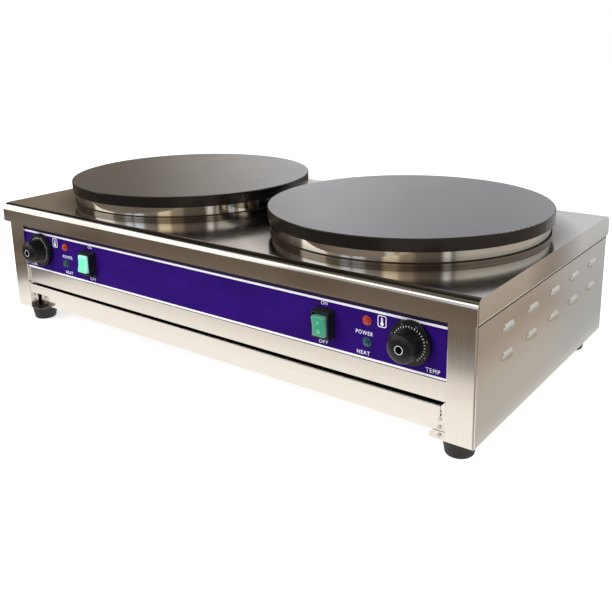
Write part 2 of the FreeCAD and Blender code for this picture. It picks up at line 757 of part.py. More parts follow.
def control_knob(side, sign):
    """A thermostat, its shaft, and the knob whose skirt is the dial."""
    x = mirrored(sign, "knob_x")
    grip_end = "dial_thickness + grip_length"
    shaft_hole = "shaft_radius + shaft_play"
    hole_depth = "dial_thickness + shaft_reach - dial_lift"
    knob = turned(f"knob_body_{side}", [
        (shaft_hole, "dial_wall"),
        ("dial_radius - dial_wall", "dial_wall"),
        ("dial_radius - dial_wall", "0 * dial_wall"),
        ("dial_radius", "0 * dial_wall"),
        ("dial_radius - dial_taper", "dial_thickness"),
        ("grip_root", "dial_thickness"),
        ("grip_nose", grip_end),
        ("cap_radius", grip_end),
        ("cap_radius", f"{grip_end} - cap_thickness"),
        ("0 * dial_wall", f"{grip_end} - cap_thickness"),
        ("0 * dial_wall", hole_depth),
        (shaft_hole, hole_depth),
    ], x, DIAL_BACK, "knob_z", FACING_FRONT)
    length = value["dial_thickness"] + value["grip_length"]
    round_edges(knob, "grip_round", lambda edge: level(edge, "z", length)
                and abs(edge.BoundBox.XLength / 2 - value["grip_nose"]) < 0.1)
    node(f"knob_{side}", knob)
    node(f"knob_cap_{side}", turned(f"cap_{side}", [
        ("0", f"{grip_end} - cap_thickness"),
        ("cap_radius - shaft_play", f"{grip_end} - cap_thickness"),
        ("cap_radius - shaft_play", f"{grip_end} - cap_chamfer"),
        ("cap_radius - shaft_play - cap_chamfer", f"{grip_end}"),
        ("0", f"{grip_end}"),
    ], x, DIAL_BACK, "knob_z", FACING_FRONT))
    shaft_back = f"{PANEL_BACK} + thermostat_depth / 2"
    shaft_length = f"{shaft_back} - ({DIAL_BACK} - ({hole_depth}) + shaft_play * 4)"
    node(f"thermostat_shaft_{side}", rod("shaft_radius", shaft_length, x, shaft_back, "knob_z", FACING_FRONT))
    half_width = "thermostat_width / 2"
    half_height = "thermostat_height / 2"
    case = box(f"{x} - {half_width}", f"{x} + {half_width}", PANEL_BACK, f"{PANEL_BACK} + thermostat_depth",
               f"knob_z - {half_height}", f"knob_z + {half_height}")
    bush = rod("shaft_radius + bush_wall", "sheet + overlay_film", x, PANEL_BACK, "knob_z", FACING_FRONT)
    bore = rod("shaft_radius + shaft_play", "thermostat_depth / 2 + 6 * sheet",
               x, f"{shaft_back} + shaft_play", "knob_z", FACING_FRONT)
    screw_holes = [rod("screw_radius + shaft_play", "screw_length + 1", f"{x} + {shift} * thermostat_screw_pitch / 2",
                       f"{PANEL_BACK} + screw_length", "knob_z", FACING_FRONT) for shift in (-1, 1)]
    node(f"thermostat_{side}", cut(join(case, bush), bore, *screw_holes))
    node(f"temperature_sensor_{side}", temperature_sensor(side, sign))


def temperature_sensor(side, sign):
    """The capillary from the thermostat to its bulb, which lies under the plate's middle."""
    start = FreeCAD.Vector(0, number(PANEL_BACK) + value["thermostat_depth"],
                           value["knob_z"])
    across = number("plate_x - knob_x")
    front_y = number("plate_y - element_inner / 2")
    bulb_z = number(CLAMP_TOP) + value["bulb_radius"]
    corners = [
        start,
        FreeCAD.Vector(0, start.y + 26, start.z),
        FreeCAD.Vector(sign * across, front_y, start.z),
        FreeCAD.Vector(sign * across, front_y, bulb_z),
        FreeCAD.Vector(sign * across, front_y + 2.5 * value["capillary_bend"], bulb_z),
    ]
    path = bent_path(corners, value["capillary_bend"])
    way = corners[1] - corners[0]
    section = Part.Wire(Part.Circle(corners[0], way, value["capillary_radius"]).toShape())
    tube = path.makePipeShell([section], True, False)
    bulb = Part.makeCylinder(value["bulb_radius"], value["bulb_length"],
                             corners[-1] - FreeCAD.Vector(0, 1, 0), FreeCAD.Vector(0, 1, 0))
    sensor = doc.addObject("Part::Feature", f"sensor_{side}")
    sensor.Shape = tube.fuse(bulb)
    place(sensor, mirrored(sign, "knob_x"), "0 * knob_x", "0 * knob_x")
    return sensor


def bent_path(corners, radius):
    """Straight runs between corners, joined by tangent arcs of one radius."""
    edges = []
    last = corners[0]
    for i in range(1, len(corners) - 1):
        before = (corners[i - 1] - corners[i]).normalize()
        after = (corners[i + 1] - corners[i]).normalize()
        half_angle = before.getAngle(after) / 2
        reach = radius / math.tan(half_angle)
        first = corners[i] + before * reach
        second = corners[i] + after * reach
        inward = (before + after).normalize()
        centre = corners[i] + inward * (radius / math.sin(half_angle))
        middle = centre - inward * radius
        edges.append(Part.LineSegment(last, first).toShape())
        edges.append(Part.Arc(first, middle, second).toShape())
        last = second
    edges.append(Part.LineSegment(last, corners[-1]).toShape())
    return Part.Wire(edges)


def rocker_switch(side, sign, pressed_end):
    """A rocker in its housing, at rest with the given end pressed in (1 is the top)."""
    x = mirrored(sign, "switch_x")
    cavity_width = "(rocker_width / 2 + rocker_play)"
    cavity_height = "(rocker_height / 2 + rocker_room / 2)"

    def block(half_width, half_height, front, rear):
        return box(f"{x} - {half_width}", f"{x} + {half_width}", front, rear,
                   f"switch_z - {half_height}", f"switch_z + {half_height}")

    flange = block("bezel_width / 2", "bezel_height / 2", f"{OVERLAY_FRONT} - bezel_flange", OVERLAY_FRONT)
    collar = block(f"({cavity_width} + collar_wall)", f"({cavity_height} + collar_wall)",
                   COLLAR_FRONT, OVERLAY_FRONT)
    rear = f"{OVERLAY_FRONT} + switch_body_depth"
    can = block("(bezel_width / 2 - bezel_lap - fit_gap)", "(bezel_height / 2 - bezel_lap - fit_gap)",
                OVERLAY_FRONT, rear)
    cavity = block(cavity_width, cavity_height, f"{COLLAR_FRONT} - 1", f"{rear} - switch_base")
    pivot_length = "rocker_width + 2 * rocker_play + 2 * pivot_seat"
    seat = rod("pivot_radius + pivot_play", f"{pivot_length} + 2 * pivot_play",
               f"{x} - ({pivot_length}) / 2 - pivot_play", PIVOT_Y, "switch_z", FACING_RIGHT)
    node(f"switch_housing_{side}", cut(join(flange, collar, can), cavity, seat))
    body = new_body(f"rocker_body_{side}")
    sketch = outline_sketch(body, "YZ_Plane", [
        ("-rocker_crown", "rocker_height / 2"),
        ("-rocker_crown + rocker_dip", "0 * rocker_height"),
        ("-rocker_crown", "-rocker_height / 2"),
        ("-1 * rocker_dip", "-rocker_height / 2"),
        ("3 * rocker_dip / 2", "-rocker_height / 5"),
        ("3 * rocker_dip / 2", "rocker_height / 5"),
        ("-1 * rocker_dip", "rocker_height / 2"),
    ])
    pad = body.newObject("PartDesign::Pad", "pad")
    pad.Profile = sketch
    pad.SideType = "Symmetric"
    bind(pad, "Length", "rocker_width")
    pin = rod("pivot_radius", pivot_length, f"-({pivot_length}) / 2", "0 * rocker_dip", "0 * rocker_dip",
              FACING_RIGHT)
    rocker = join(body, pin)
    tilt = FreeCAD.Rotation(FreeCAD.Vector(1, 0, 0), -pressed_end * value["rocker_swing"] / 2)
    place(rocker, x, PIVOT_Y, "switch_z", tilt)
    node(f"rocker_{side}", rocker)


def lamps():
    """Two indicator lamps a side: a socket through the panel, and a flanged lens plugged into it."""
    sockets = []
    plug = "lens_plug - shaft_play"
    for side, sign in SIDES:
        x = mirrored(sign, "lamp_x")
        for word, z in (("power", "power_lamp_z"), ("heat", "heat_lamp_z")):
            sockets.append(turned(f"{word}_socket_{side}", [
                ("lens_plug", "0 * lens_plug"),
                ("lens_plug", "-lens_plug_depth"),
                ("0 * lens_plug", "-lens_plug_depth"),
                ("0 * lens_plug", "-lamp_body_length"),
                ("lamp_body_radius", "-lamp_body_length"),
                ("lamp_body_radius", "0 * lens_plug"),
            ], x, OVERLAY_FRONT, z, FACING_FRONT))
            node(f"{word}_lens_{side}", turned(f"{word}_lens_body_{side}", [
                ("0 * lens_plug", "-lens_plug_depth + shaft_play"),
                (plug, "-lens_plug_depth + shaft_play"),
                (plug, "0 * lens_plug"),
                ("lamp_radius", "0 * lens_plug"),
                ("lamp_radius", "lamp_rim / 2"),
                ("lamp_radius - lamp_rim / 2", "lamp_rim"),
                ("lens_radius", "lamp_rim"),
                ("lens_radius * 0.93", "lens_proud * 0.7"),
                ("lens_radius * 0.6", "lens_proud * 0.95"),
                ("lens_radius * 0.25", "lens_proud"),
                ("0 * lens_plug", "lens_proud"),
            ], x, OVERLAY_FRONT, z, FACING_FRONT))
    node("lamp_holders", group(*sockets))


def pull_out_tray():
    """The tray under the deck: a front folded into a finger lip, a pan behind it, and rivets."""
    lip_front = f"{TRAY_FRONT} - lip_reach"
    profile = [
        (f"{TRAY_FRONT} + thin_sheet", TRAY_BOTTOM),
        (f"{TRAY_FRONT} + thin_sheet", "tray_top"),
        (lip_front, "tray_top"),
        (lip_front, "tray_top - lip_height"),
        (f"{lip_front} + lip_hem", "tray_top - lip_height"),
        (f"{lip_front} + lip_hem", "tray_top - lip_height + thin_sheet"),
        (f"{lip_front} + thin_sheet", "tray_top - lip_height + thin_sheet"),
        (f"{lip_front} + thin_sheet", "tray_top - thin_sheet"),
        (TRAY_FRONT, "tray_top - thin_sheet"),
        (TRAY_FRONT, TRAY_BOTTOM),
    ]
    body = pressed("tray_front_sheet", "YZ_Plane", profile, f"2 * {TRAY_HALF}")
    top = value["tray_top"]
    lip_at = number(lip_front)
    round_edges(body, "bend_radius * 0.6", lambda edge: along(edge, "x") and (
        level(edge, "z", top) or (level(edge, "y", lip_at) and not level(edge, "z", top))))
    node("tray_front", body)
    half = f"{TRAY_HALF} - tray_wall_inset"
    start = f"{TRAY_FRONT} + thin_sheet"
    end = f"{TRAY_FRONT} + tray_depth"
    top_edge = f"{TRAY_BOTTOM} + tray_wall_height"
    block = box(f"-({half})", half, start, end, TRAY_BOTTOM, top_edge)
    hollow = box(f"-({half} - thin_sheet)", f"{half} - thin_sheet", f"{start} + thin_sheet",
                 f"{end} - thin_sheet", f"{TRAY_BOTTOM} + thin_sheet", f"{top_edge} + 1")
    node("tray_pan", cut(block, hollow))
    rivets = [rod("rivet_radius", "rivet_head", mirrored(sign, f"{TRAY_HALF} - 2 * tray_wall_inset"),
                  TRAY_FRONT, f"{TRAY_BOTTOM} + {row + 0.5} * rivet_pitch", FACING_FRONT)
              for _, sign in SIDES for row in range(3)]
    node("tray_rivets", group(*rivets))


def rail(side, sign):
    """A bottom rail: the tray glides on its flange, and the feet bolt through it."""
    inner = f"{SIDE_INNER} - rail_reach"
    front = f"{FRONT} + rail_front"
    rear = f"{REAR_INNER} - fit_gap"
    flange = side_box(sign, inner, SIDE_INNER, front, rear, RAIL_BOTTOM, RAIL_TOP)
    corner_y = f"{front} + rail_corner"
    corner_x = mirrored(sign, f"{inner} + rail_corner")
    notch = side_box(sign, f"{inner} - 1", f"{inner} + rail_corner", f"{front} - 1", corner_y,
                     f"{RAIL_BOTTOM} - 1", f"{RAIL_TOP} + 1")
    round_corner = rod("rail_corner", "sheet", corner_x, corner_y, RAIL_BOTTOM)
    behind_post = f"{POST_FRONT} + post_return + fit_gap"
    leg = side_box(sign, f"{SIDE_INNER} - sheet", SIDE_INNER, behind_post, rear, RAIL_BOTTOM,
                   f"{RAIL_TOP} + rail_leg")
    guide = side_box(sign, GUIDE_INNER, f"{GUIDE_INNER} + sheet", behind_post, rear, RAIL_BOTTOM,
                     f"{RAIL_TOP} + guide_height")
    holes = [rod("foot_bolt_radius + foot_bore_play", "3 * sheet", x, y, f"{RAIL_BOTTOM} - sheet")
             for x, y in foot_places(sign)]
    node(f"bottom_rail_{side}", cut(join(cut(flange, notch), round_corner, leg, guide), *holes))


def foot_places(sign):
    x = mirrored(sign, "body_width / 2 - foot_x")
    return [(x, f"{FRONT} + foot_y"), (x, f"{BACK} - foot_y")]


def feet():
    """Four rubber feet, each held by a bolt up through the rail and a nut on top of it."""
    bolts, nuts = [], []
    for side, sign in SIDES:
        for end, (x, y) in zip(("front", "rear"), foot_places(sign)):
            bore = "foot_bolt_radius + foot_bore_play"
            socket = "bolt_head_radius + foot_bore_play"
            node(f"foot_{end}_{side}", turned(f"foot_body_{end}_{side}", [
                (bore, "foot_floor + bolt_head_height"),
                (socket, "foot_floor + bolt_head_height"),
                (socket, "0 * foot_floor"),
                ("foot_bottom_radius - foot_edge", "0 * foot_floor"),
                ("foot_bottom_radius", "foot_edge"),
                ("foot_top_radius", RAIL_BOTTOM),
                (bore, RAIL_BOTTOM),
            ], x, y))
            head_z = "foot_floor"
            head = rod("bolt_head_radius", "bolt_head_height", x, y, head_z)
            shank = rod("foot_bolt_radius", f"{RAIL_TOP} + nut_height + bolt_spare - {head_z}", x, y, head_z)
            bolts.append(join(head, shank))
            nut = hexagon("nut_width", "nut_height", x, y, RAIL_TOP)
            nuts.append(cut(nut, rod("foot_bolt_radius + shaft_play", "nut_height + 2", x, y,
                                     f"{RAIL_TOP} - 1")))
    node("foot_bolts", group(*bolts))
    node("foot_nuts", group(*nuts))


def rear_fittings():
    """The cable gland with its locknut, the earth stud, and the terminal block on the deck."""
    x = "-gland_x"
    gland = turned("gland", [
        ("gland_bore", "-gland_inside"),
        ("gland_thread", "-gland_inside"),
        ("gland_thread", "0 * sheet"),
        ("gland_collar", "0 * sheet"),
        ("gland_collar", "gland_proud * 0.35"),
        ("gland_collar * 0.9", "gland_proud * 0.4"),
        ("gland_collar * 0.9", "gland_proud * 0.8"),
        ("gland_collar * 0.62", "gland_proud"),
        ("gland_bore", "gland_proud"),
    ], x, REAR_OUTER, "gland_z", FACING_BACK)
    node("cable_gland", gland)
    nut_start = f"{REAR_INNER} - nut_height"
    nut = hexagon("2 * gland_nut_radius", "nut_height", x, nut_start, "gland_z", FACING_BACK)
    nut_bore = rod("gland_thread + shaft_play", "nut_height + 2", x, f"{nut_start} - 1", "gland_z", FACING_BACK)
    node("gland_locknut", cut(nut, nut_bore))
    shoulder = "nut_height + bolt_spare / 3"
    node("earth_stud", turned("earth_bolt", [
        ("0 * earth_radius", "-earth_inside"),
        ("earth_radius", "-earth_inside"),
        ("earth_radius", shoulder),
        ("earth_groove_radius", shoulder),
        ("earth_groove_radius", f"{shoulder} + earth_groove"),
        ("earth_tip_radius", f"{shoulder} + earth_groove"),
        ("earth_tip_radius", "earth_proud"),
        ("0 * earth_radius", "earth_proud"),
    ], "earth_x", REAR_OUTER, "earth_z", FACING_BACK))
    washer_nuts = []
    for start in (f"{REAR_INNER} - nut_height", REAR_OUTER):
        piece = hexagon("nut_width", "nut_height", "earth_x", start, "earth_z", FACING_BACK)
        hole = rod("earth_radius + shaft_play", "nut_height + 2", "earth_x", f"{start} - 1", "earth_z", FACING_BACK)
        washer_nuts.append(cut(piece, hole))
    node("earth_nuts", group(*washer_nuts))
    middle = "(-gland_x + terminal_shift)"
    deck_top = "deck_height + thin_sheet"
    rear = f"{REAR_INNER} - terminal_back"
    base = box(f"{middle} - terminal_length / 2", f"{middle} + terminal_length / 2",
               f"{rear} - terminal_depth", rear, deck_top, f"{deck_top} + terminal_height")
    wells = [rod("terminal_well", "terminal_well_depth + 1", f"{middle} + ({index} - 2) * terminal_length / 6",
                 f"{rear} - terminal_depth / 2", f"{deck_top} + terminal_height - terminal_well_depth")
             for index in range(5)]
    node("terminal_block", cut(base, *wells))


def screws():
    """Sheet screws: the cover's and the rear panel's at the back, and the thermostats' in front."""
    cover = [screw(x, BACK, COVER_SCREW_Z, FACING_FRONT, FACING_BACK) for x in cover_screw_places()]
    rear = [screw(x, REAR_OUTER, z, FACING_FRONT, FACING_BACK) for x, z in rear_screw_places()]
    node("rear_screws", group(*cover, *rear))
    front = [screw(f"{mirrored(sign, 'knob_x')} + {shift} * thermostat_screw_pitch / 2", OVERLAY_FRONT, "knob_z",
                   FACING_BACK, FACING_FRONT) for _, sign in SIDES for shift in (-1, 1)]
    node("thermostat_screws", group(*front))


def screw(x, face, z, inward, outward):
    """A pan-head screw whose head lies on a face and whose shank runs the inward way."""
    shank = rod("screw_radius - shaft_play", "screw_length", x, face, z, inward)
    head = rod("screw_head_radius", "screw_head", x, face, z, outward)
    return join(head, shank)


def build():
    sheet_cover()
    front_panel()
    back_and_deck()
    for side, sign in SIDES:
        corner_post(side, sign)
        side_panel(side, sign)
        rail(side, sign)
        plate_stack(side, sign)
        control_knob(side, sign)
    rocker_switch("left", -1, 1)
    rocker_switch("right", 1, -1)
    hidden_groups()
    lamps()
    pull_out_tray()
    feet()
    rear_fittings()
    screws()


def check_and_write():
    """Stop on any failed object or open shape, then write one file per sub-part."""
    doc.recompute()
    for thing in doc.Objects:
        if "Invalid" in thing.State or "Error" in thing.State:
            raise RuntimeError(f"{thing.Name} ({thing.Label}) failed: {thing.State}")
    names = [piece.Label for piece in pieces]
    if len(set(names)) != len(names):
        raise RuntimeError("two sub-parts share a name")
    for piece in pieces:
        if piece.Shape.isNull() or not piece.Shape.isValid() or not piece.Shape.Solids:
            raise RuntimeError(f"{piece.Label} has no valid solid")
    os.makedirs("parts", exist_ok=True)
    for piece in pieces:
        piece.Shape.exportStep(f"parts/{piece.Label}.step")
        print(piece.Label, len(piece.Shape.Solids), round(piece.Shape.Volume))
    print(len(pieces), "sub-parts")


build()
check_and_write()
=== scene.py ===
import math
import bpy
from mathutils import Matrix, Vector


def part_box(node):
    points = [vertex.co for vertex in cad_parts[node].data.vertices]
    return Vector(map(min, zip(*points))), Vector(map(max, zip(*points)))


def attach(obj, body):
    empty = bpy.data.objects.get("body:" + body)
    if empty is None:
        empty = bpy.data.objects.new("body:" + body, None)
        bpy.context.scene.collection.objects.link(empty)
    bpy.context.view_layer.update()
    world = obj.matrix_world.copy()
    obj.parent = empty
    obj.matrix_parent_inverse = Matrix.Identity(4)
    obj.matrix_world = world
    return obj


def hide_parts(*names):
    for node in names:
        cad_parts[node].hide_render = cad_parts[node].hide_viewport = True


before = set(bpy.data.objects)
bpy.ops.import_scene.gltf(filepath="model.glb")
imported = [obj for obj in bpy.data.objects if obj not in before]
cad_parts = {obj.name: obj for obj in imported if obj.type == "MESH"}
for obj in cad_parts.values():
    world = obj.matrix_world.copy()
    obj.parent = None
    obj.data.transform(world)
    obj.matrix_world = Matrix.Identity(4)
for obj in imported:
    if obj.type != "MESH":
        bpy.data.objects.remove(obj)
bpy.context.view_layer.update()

# Planes and places of the CAD model that the printed and dressed pieces sit on, in metres
FILM_LOW, FILM_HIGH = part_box("control_overlay")
FILM_FRONT = FILM_LOW[1]
PRINT_LIFT = 0.00006
KNOB_X = 0.346
KNOB_Z = 0.135
SWITCH_X = 0.225
SWITCH_Z = 0.132
PLATE_X = 0.214
PLATE_Y = 0.006
TOWARDS_COOK = (math.pi / 2, 0, 0)
WHITE = (1, 1, 1, 1)
SIDES = (("left", -1), ("right", 1))


def shade(red, green, blue):
    """A colour written as a screen shows it, 0 to 255, turned into the linear values shaders use."""
    linear = []
    for part in (red, green, blue):
        part = part / 255
        linear.append(part / 12.92 if part <= 0.04045 else ((part + 0.055) / 1.055) ** 2.4)
    return (*linear, 1)


# Finishes

def new_finish(name, colour, roughness, metallic=0.0, specular=0.5):
    """A node material with its plain values set on the surface shader's own sockets."""
    finish = bpy.data.materials.new(name)
    finish.use_nodes = True
    shader = finish.node_tree.nodes["Principled BSDF"]
    shader.inputs["Base Color"].default_value = colour
    shader.inputs["Roughness"].default_value = roughness
    shader.inputs["Metallic"].default_value = metallic
    shader.inputs["Specular IOR Level"].default_value = specular
    return finish, finish.node_tree, shader


def feed(tree, socket, value):
    """Give a socket either a pattern or a plain value."""
    if isinstance(value, bpy.types.NodeSocket):
        tree.links.new(value, socket)
    else:
        socket.default_value = value


def computed(tree, operation, *values):
    """One step of arithmetic on patterns and plain numbers."""
    step = tree.nodes.new("ShaderNodeMath")
    step.operation = operation
    for socket, value in zip(step.inputs, values):
        feed(tree, socket, value)
    return step.outputs[0]


def blended(tree, factor, first, second, how="MIX"):
    """Two colours, or patterns of colour, mixed by a factor."""
    blend = tree.nodes.new("ShaderNodeMix")
    blend.data_type = "RGBA"
    blend.blend_type = how
    feed(tree, blend.inputs["Factor"], factor)
    feed(tree, blend.inputs["A"], first)
    feed(tree, blend.inputs["B"], second)
    return blend.outputs["Result"]


def axes_of(tree, vector):
    """The X, Y and Z of a vector, apart."""
    split = tree.nodes.new("ShaderNodeSeparateXYZ")
    tree.links.new(vector, split.inputs[0])
    return split.outputs


def object_axes(tree):
    """Each point's own X, Y and Z, in metres."""
    coordinates = tree.nodes.new("ShaderNodeTexCoord")
    return axes_of(tree, coordinates.outputs["Object"])


def length_of(tree, across, along):
    """The length of a flat offset."""
    joined = tree.nodes.new("ShaderNodeCombineXYZ")
    tree.links.new(across, joined.inputs["X"])
    tree.links.new(along, joined.inputs["Y"])
    length = tree.nodes.new("ShaderNodeVectorMath")
    length.operation = "LENGTH"
    tree.links.new(joined.outputs["Vector"], length.inputs[0])
    return length.outputs["Value"]


def object_noise(tree, stretch, detail=2.0):
    """Noise on Object coordinates, stretched along each axis by its own amount."""
    coordinates = tree.nodes.new("ShaderNodeTexCoord")
    mapping = tree.nodes.new("ShaderNodeMapping")
    mapping.inputs["Scale"].default_value = stretch
    noise = tree.nodes.new("ShaderNodeTexNoise")
    noise.inputs["Scale"].default_value = 1.0
    noise.inputs["Detail"].default_value = detail
    tree.links.new(coordinates.outputs["Object"], mapping.inputs["Vector"])
    tree.links.new(mapping.outputs["Vector"], noise.inputs["Vector"])
    return noise.outputs["Fac"]


def to_range(tree, value, low, high, start=0.3, end=0.7):
    """A 0 to 1 pattern stretched between two numbers."""
    spread = tree.nodes.new("ShaderNodeMapRange")
    spread.inputs["From Min"].default_value = start
    spread.inputs["From Max"].default_value = end
    spread.inputs["To Min"].default_value = low
    spread.inputs["To Max"].default_value = high
    tree.links.new(value, spread.inputs["Value"])
    return spread.outputs["Result"]


def tint(tree, shader, pattern, first, second):
    """Base colour that wanders between two shades along a pattern."""
    tree.links.new(blended(tree, pattern, first, second), shader.inputs["Base Color"])


def emboss(tree, shader, pattern, strength, depth):
    """Fine relief from a pattern."""
    bump = tree.nodes.new("ShaderNodeBump")
    bump.inputs["Strength"].default_value = strength
    bump.inputs["Distance"].default_value = depth
    tree.links.new(pattern, bump.inputs["Height"])
    tree.links.new(bump.outputs["Normal"], shader.inputs["Normal"])


def brushed_steel(name, stretch, tone, roughness):
    """Stainless sheet with its grain along one axis and a few faint smears across it."""
    finish, tree, shader = new_finish(name, tone, roughness, metallic=1.0)
    grain = object_noise(tree, stretch, detail=3.0)
    smears = object_noise(tree, (5.0, 5.0, 7.0), detail=4.0)
    pattern = computed(tree, "MULTIPLY_ADD", grain, 0.6, computed(tree, "MULTIPLY", smears, 0.4))
    tree.links.new(to_range(tree, pattern, roughness - 0.04, roughness + 0.06), shader.inputs["Roughness"])
    darker = tuple(part * 0.95 for part in tone[:3]) + (1,)
    tint(tree, shader, to_range(tree, pattern, 0, 1), darker, tone)
    emboss(tree, shader, grain, 0.02, 0.0001)
    return finish


def from_plate_centre(tree):
    """The distance from the nearer plate's own axis."""
    axes = object_axes(tree)
    across = computed(tree, "SUBTRACT", computed(tree, "ABSOLUTE", axes["X"]), PLATE_X)
    along = computed(tree, "SUBTRACT", axes["Y"], PLATE_Y)
    return length_of(tree, across, along)


def turned_pattern(tree, rings, detail):
    """Noise that runs round each plate's own centre, as a lathe leaves it."""
    noise = tree.nodes.new("ShaderNodeTexNoise")
    noise.noise_dimensions = "1D"
    noise.inputs["Scale"].default_value = rings
    noise.inputs["Detail"].default_value = detail
    tree.links.new(from_plate_centre(tree), noise.inputs["W"])
    return noise.outputs["Fac"]


def cover_steel():
    """The cover's brushed steel, painted darker brown close to the plates as a painted reflection of the
    rings.
    """
    finish = brushed_steel("cover_steel", (6.0, 900.0, 900.0), STEEL_TONE, 0.13)
    tree = finish.node_tree
    shader = tree.nodes["Principled BSDF"]
    plain = shader.inputs["Base Color"].links[0].from_socket
    # painted reflection: the steel is dark brown within the plates' reach and plain farther out
    away = to_range(tree, from_plate_centre(tree), 0, 1, 0.197, 0.238)
    tint(tree, shader, away, (0.15, 0.12, 0.092, 1), plain)
    return finish


def plate_iron():
    """The cooking plates: dark machined cast metal, faintly ringed, with a baked-on bloom."""
    finish, tree, shader = new_finish("plate_iron", (0.27, 0.27, 0.275, 1), 0.3, metallic=0.9)
    rings = turned_pattern(tree, 900.0, 2.0)
    bloom = object_noise(tree, (9.0, 9.0, 9.0), detail=5.0)
    tree.links.new(to_range(tree, bloom, 0.17, 0.25), shader.inputs["Roughness"])
    patches = to_range(tree, bloom, 0, 1, 0.25, 0.75)
    face = blended(tree, patches, (0.205, 0.205, 0.21, 1), (0.25, 0.25, 0.255, 1))
    # the rim and the underside, which don't face up, are made much darker than the top
    surface = tree.nodes.new("ShaderNodeNewGeometry")
    upward = axes_of(tree, surface.outputs["Normal"])["Z"]
    tint(tree, shader, to_range(tree, upward, 0, 1, 0.5, 0.95), (0.05, 0.045, 0.042, 1), face)
    emboss(tree, shader, rings, 0.03, 0.0001)
    return finish


def ring_steel(name, tone):
    """The polished bands under the plates, drawn in bands round their height."""
    finish, tree, shader = new_finish(name, tone, 0.06, metallic=1.0)
    bands = object_noise(tree, (3.0, 3.0, 900.0), detail=2.0)
    tree.links.new(to_range(tree, bands, 0.03, 0.08), shader.inputs["Roughness"])
    emboss(tree, shader, bands, 0.015, 0.0001)
    return finish


def grained_plastic(name, colour, roughness, strength=0.25, size=900.0, specular=0.5):
    """Moulded plastic or rubber with a fine spark-eroded grain."""
    finish, tree, shader = new_finish(name, colour, roughness, specular=specular)
    grain = object_noise(tree, (size, size, size), detail=2.0)
    wander = object_noise(tree, (60.0, 60.0, 60.0), detail=2.0)
    tree.links.new(to_range(tree, wander, roughness - 0.06, roughness + 0.06), shader.inputs["Roughness"])
    emboss(tree, shader, grain, strength, 0.0001)
    return finish


def overlay_print():
    """The printed control film: deep violet ink under a satin face."""
    finish, tree, shader = new_finish("overlay_print", shade(44, 16, 106), 0.6, specular=0.03)
    ink = object_noise(tree, (14.0, 14.0, 30.0), detail=3.0)
    tint(tree, shader, to_range(tree, ink, 0, 1), shade(41, 14, 99), shade(48, 17, 113))
    fine = object_noise(tree, (1500.0, 1500.0, 1500.0), detail=1.0)
    emboss(tree, shader, fine, 0.08, 0.0001)
    return finish


def clear_lens(name, colour, glow, strength):
    """A moulded lens: tinted, glossy, with the lamp's glow inside."""
    finish, tree, shader = new_finish(name, colour, 0.12)
    cloud = object_noise(tree, (500.0, 500.0, 500.0), detail=2.0)
    paler = tuple(min(1.0, part * 1.5 + 0.02) for part in colour[:3]) + (1,)
    tint(tree, shader, to_range(tree, cloud, 0, 1), colour, paler)
    shader.inputs["Emission Color"].default_value = glow
    shader.inputs["Emission Strength"].default_value = strength
    shader.inputs["Coat Weight"].default_value = 0.5
    shader.inputs["Coat Roughness"].default_value = 0.05
    return finish


def rocker_lens(name, x, colour, border, glow, strength):
    """A rocker's moulded face: tinted, paler along its edges, lit from inside."""
    finish, tree, shader = new_finish(name, colour, 0.22)
    axes = object_axes(tree)
    edges = []
    for axis, middle, half in (("X", x, 0.0074), ("Z", SWITCH_Z, 0.0104)):
        away = computed(tree, "ABSOLUTE", computed(tree, "SUBTRACT", axes[axis], middle))
        edges.append(to_range(tree, away, 0, 1, half, half + 0.0009))
    tint(tree, shader, computed(tree, "MAXIMUM", *edges), colour, border)
    cloud = object_noise(tree, (300.0, 300.0, 300.0), detail=2.0)
    tree.links.new(to_range(tree, cloud, 0.16, 0.3), shader.inputs["Roughness"])
    shader.inputs["Emission Color"].default_value = glow
    shader.inputs["Emission Strength"].default_value = strength
    return finish


def speckled_metal(name, colour, roughness):
    """Plated or cast metal with a light mottle."""
    finish, tree, shader = new_finish(name, colour, roughness, metallic=1.0)
    mottle = object_noise(tree, (260.0, 260.0, 260.0), detail=3.0)
    tree.links.new(to_range(tree, mottle, roughness - 0.06, roughness + 0.08), shader.inputs["Roughness"])
    emboss(tree, shader, mottle, 0.06, 0.0001)
    return finish


def print_ink(name, colour):
    """Screen-printed ink, a little uneven in its gloss."""
    finish, tree, shader = new_finish(name, colour, 0.5, specular=0.3)
    wander = object_noise(tree, (400.0, 400.0, 400.0), detail=2.0)
    tree.links.new(to_range(tree, wander, 0.42, 0.6), shader.inputs["Roughness"])
    return finish


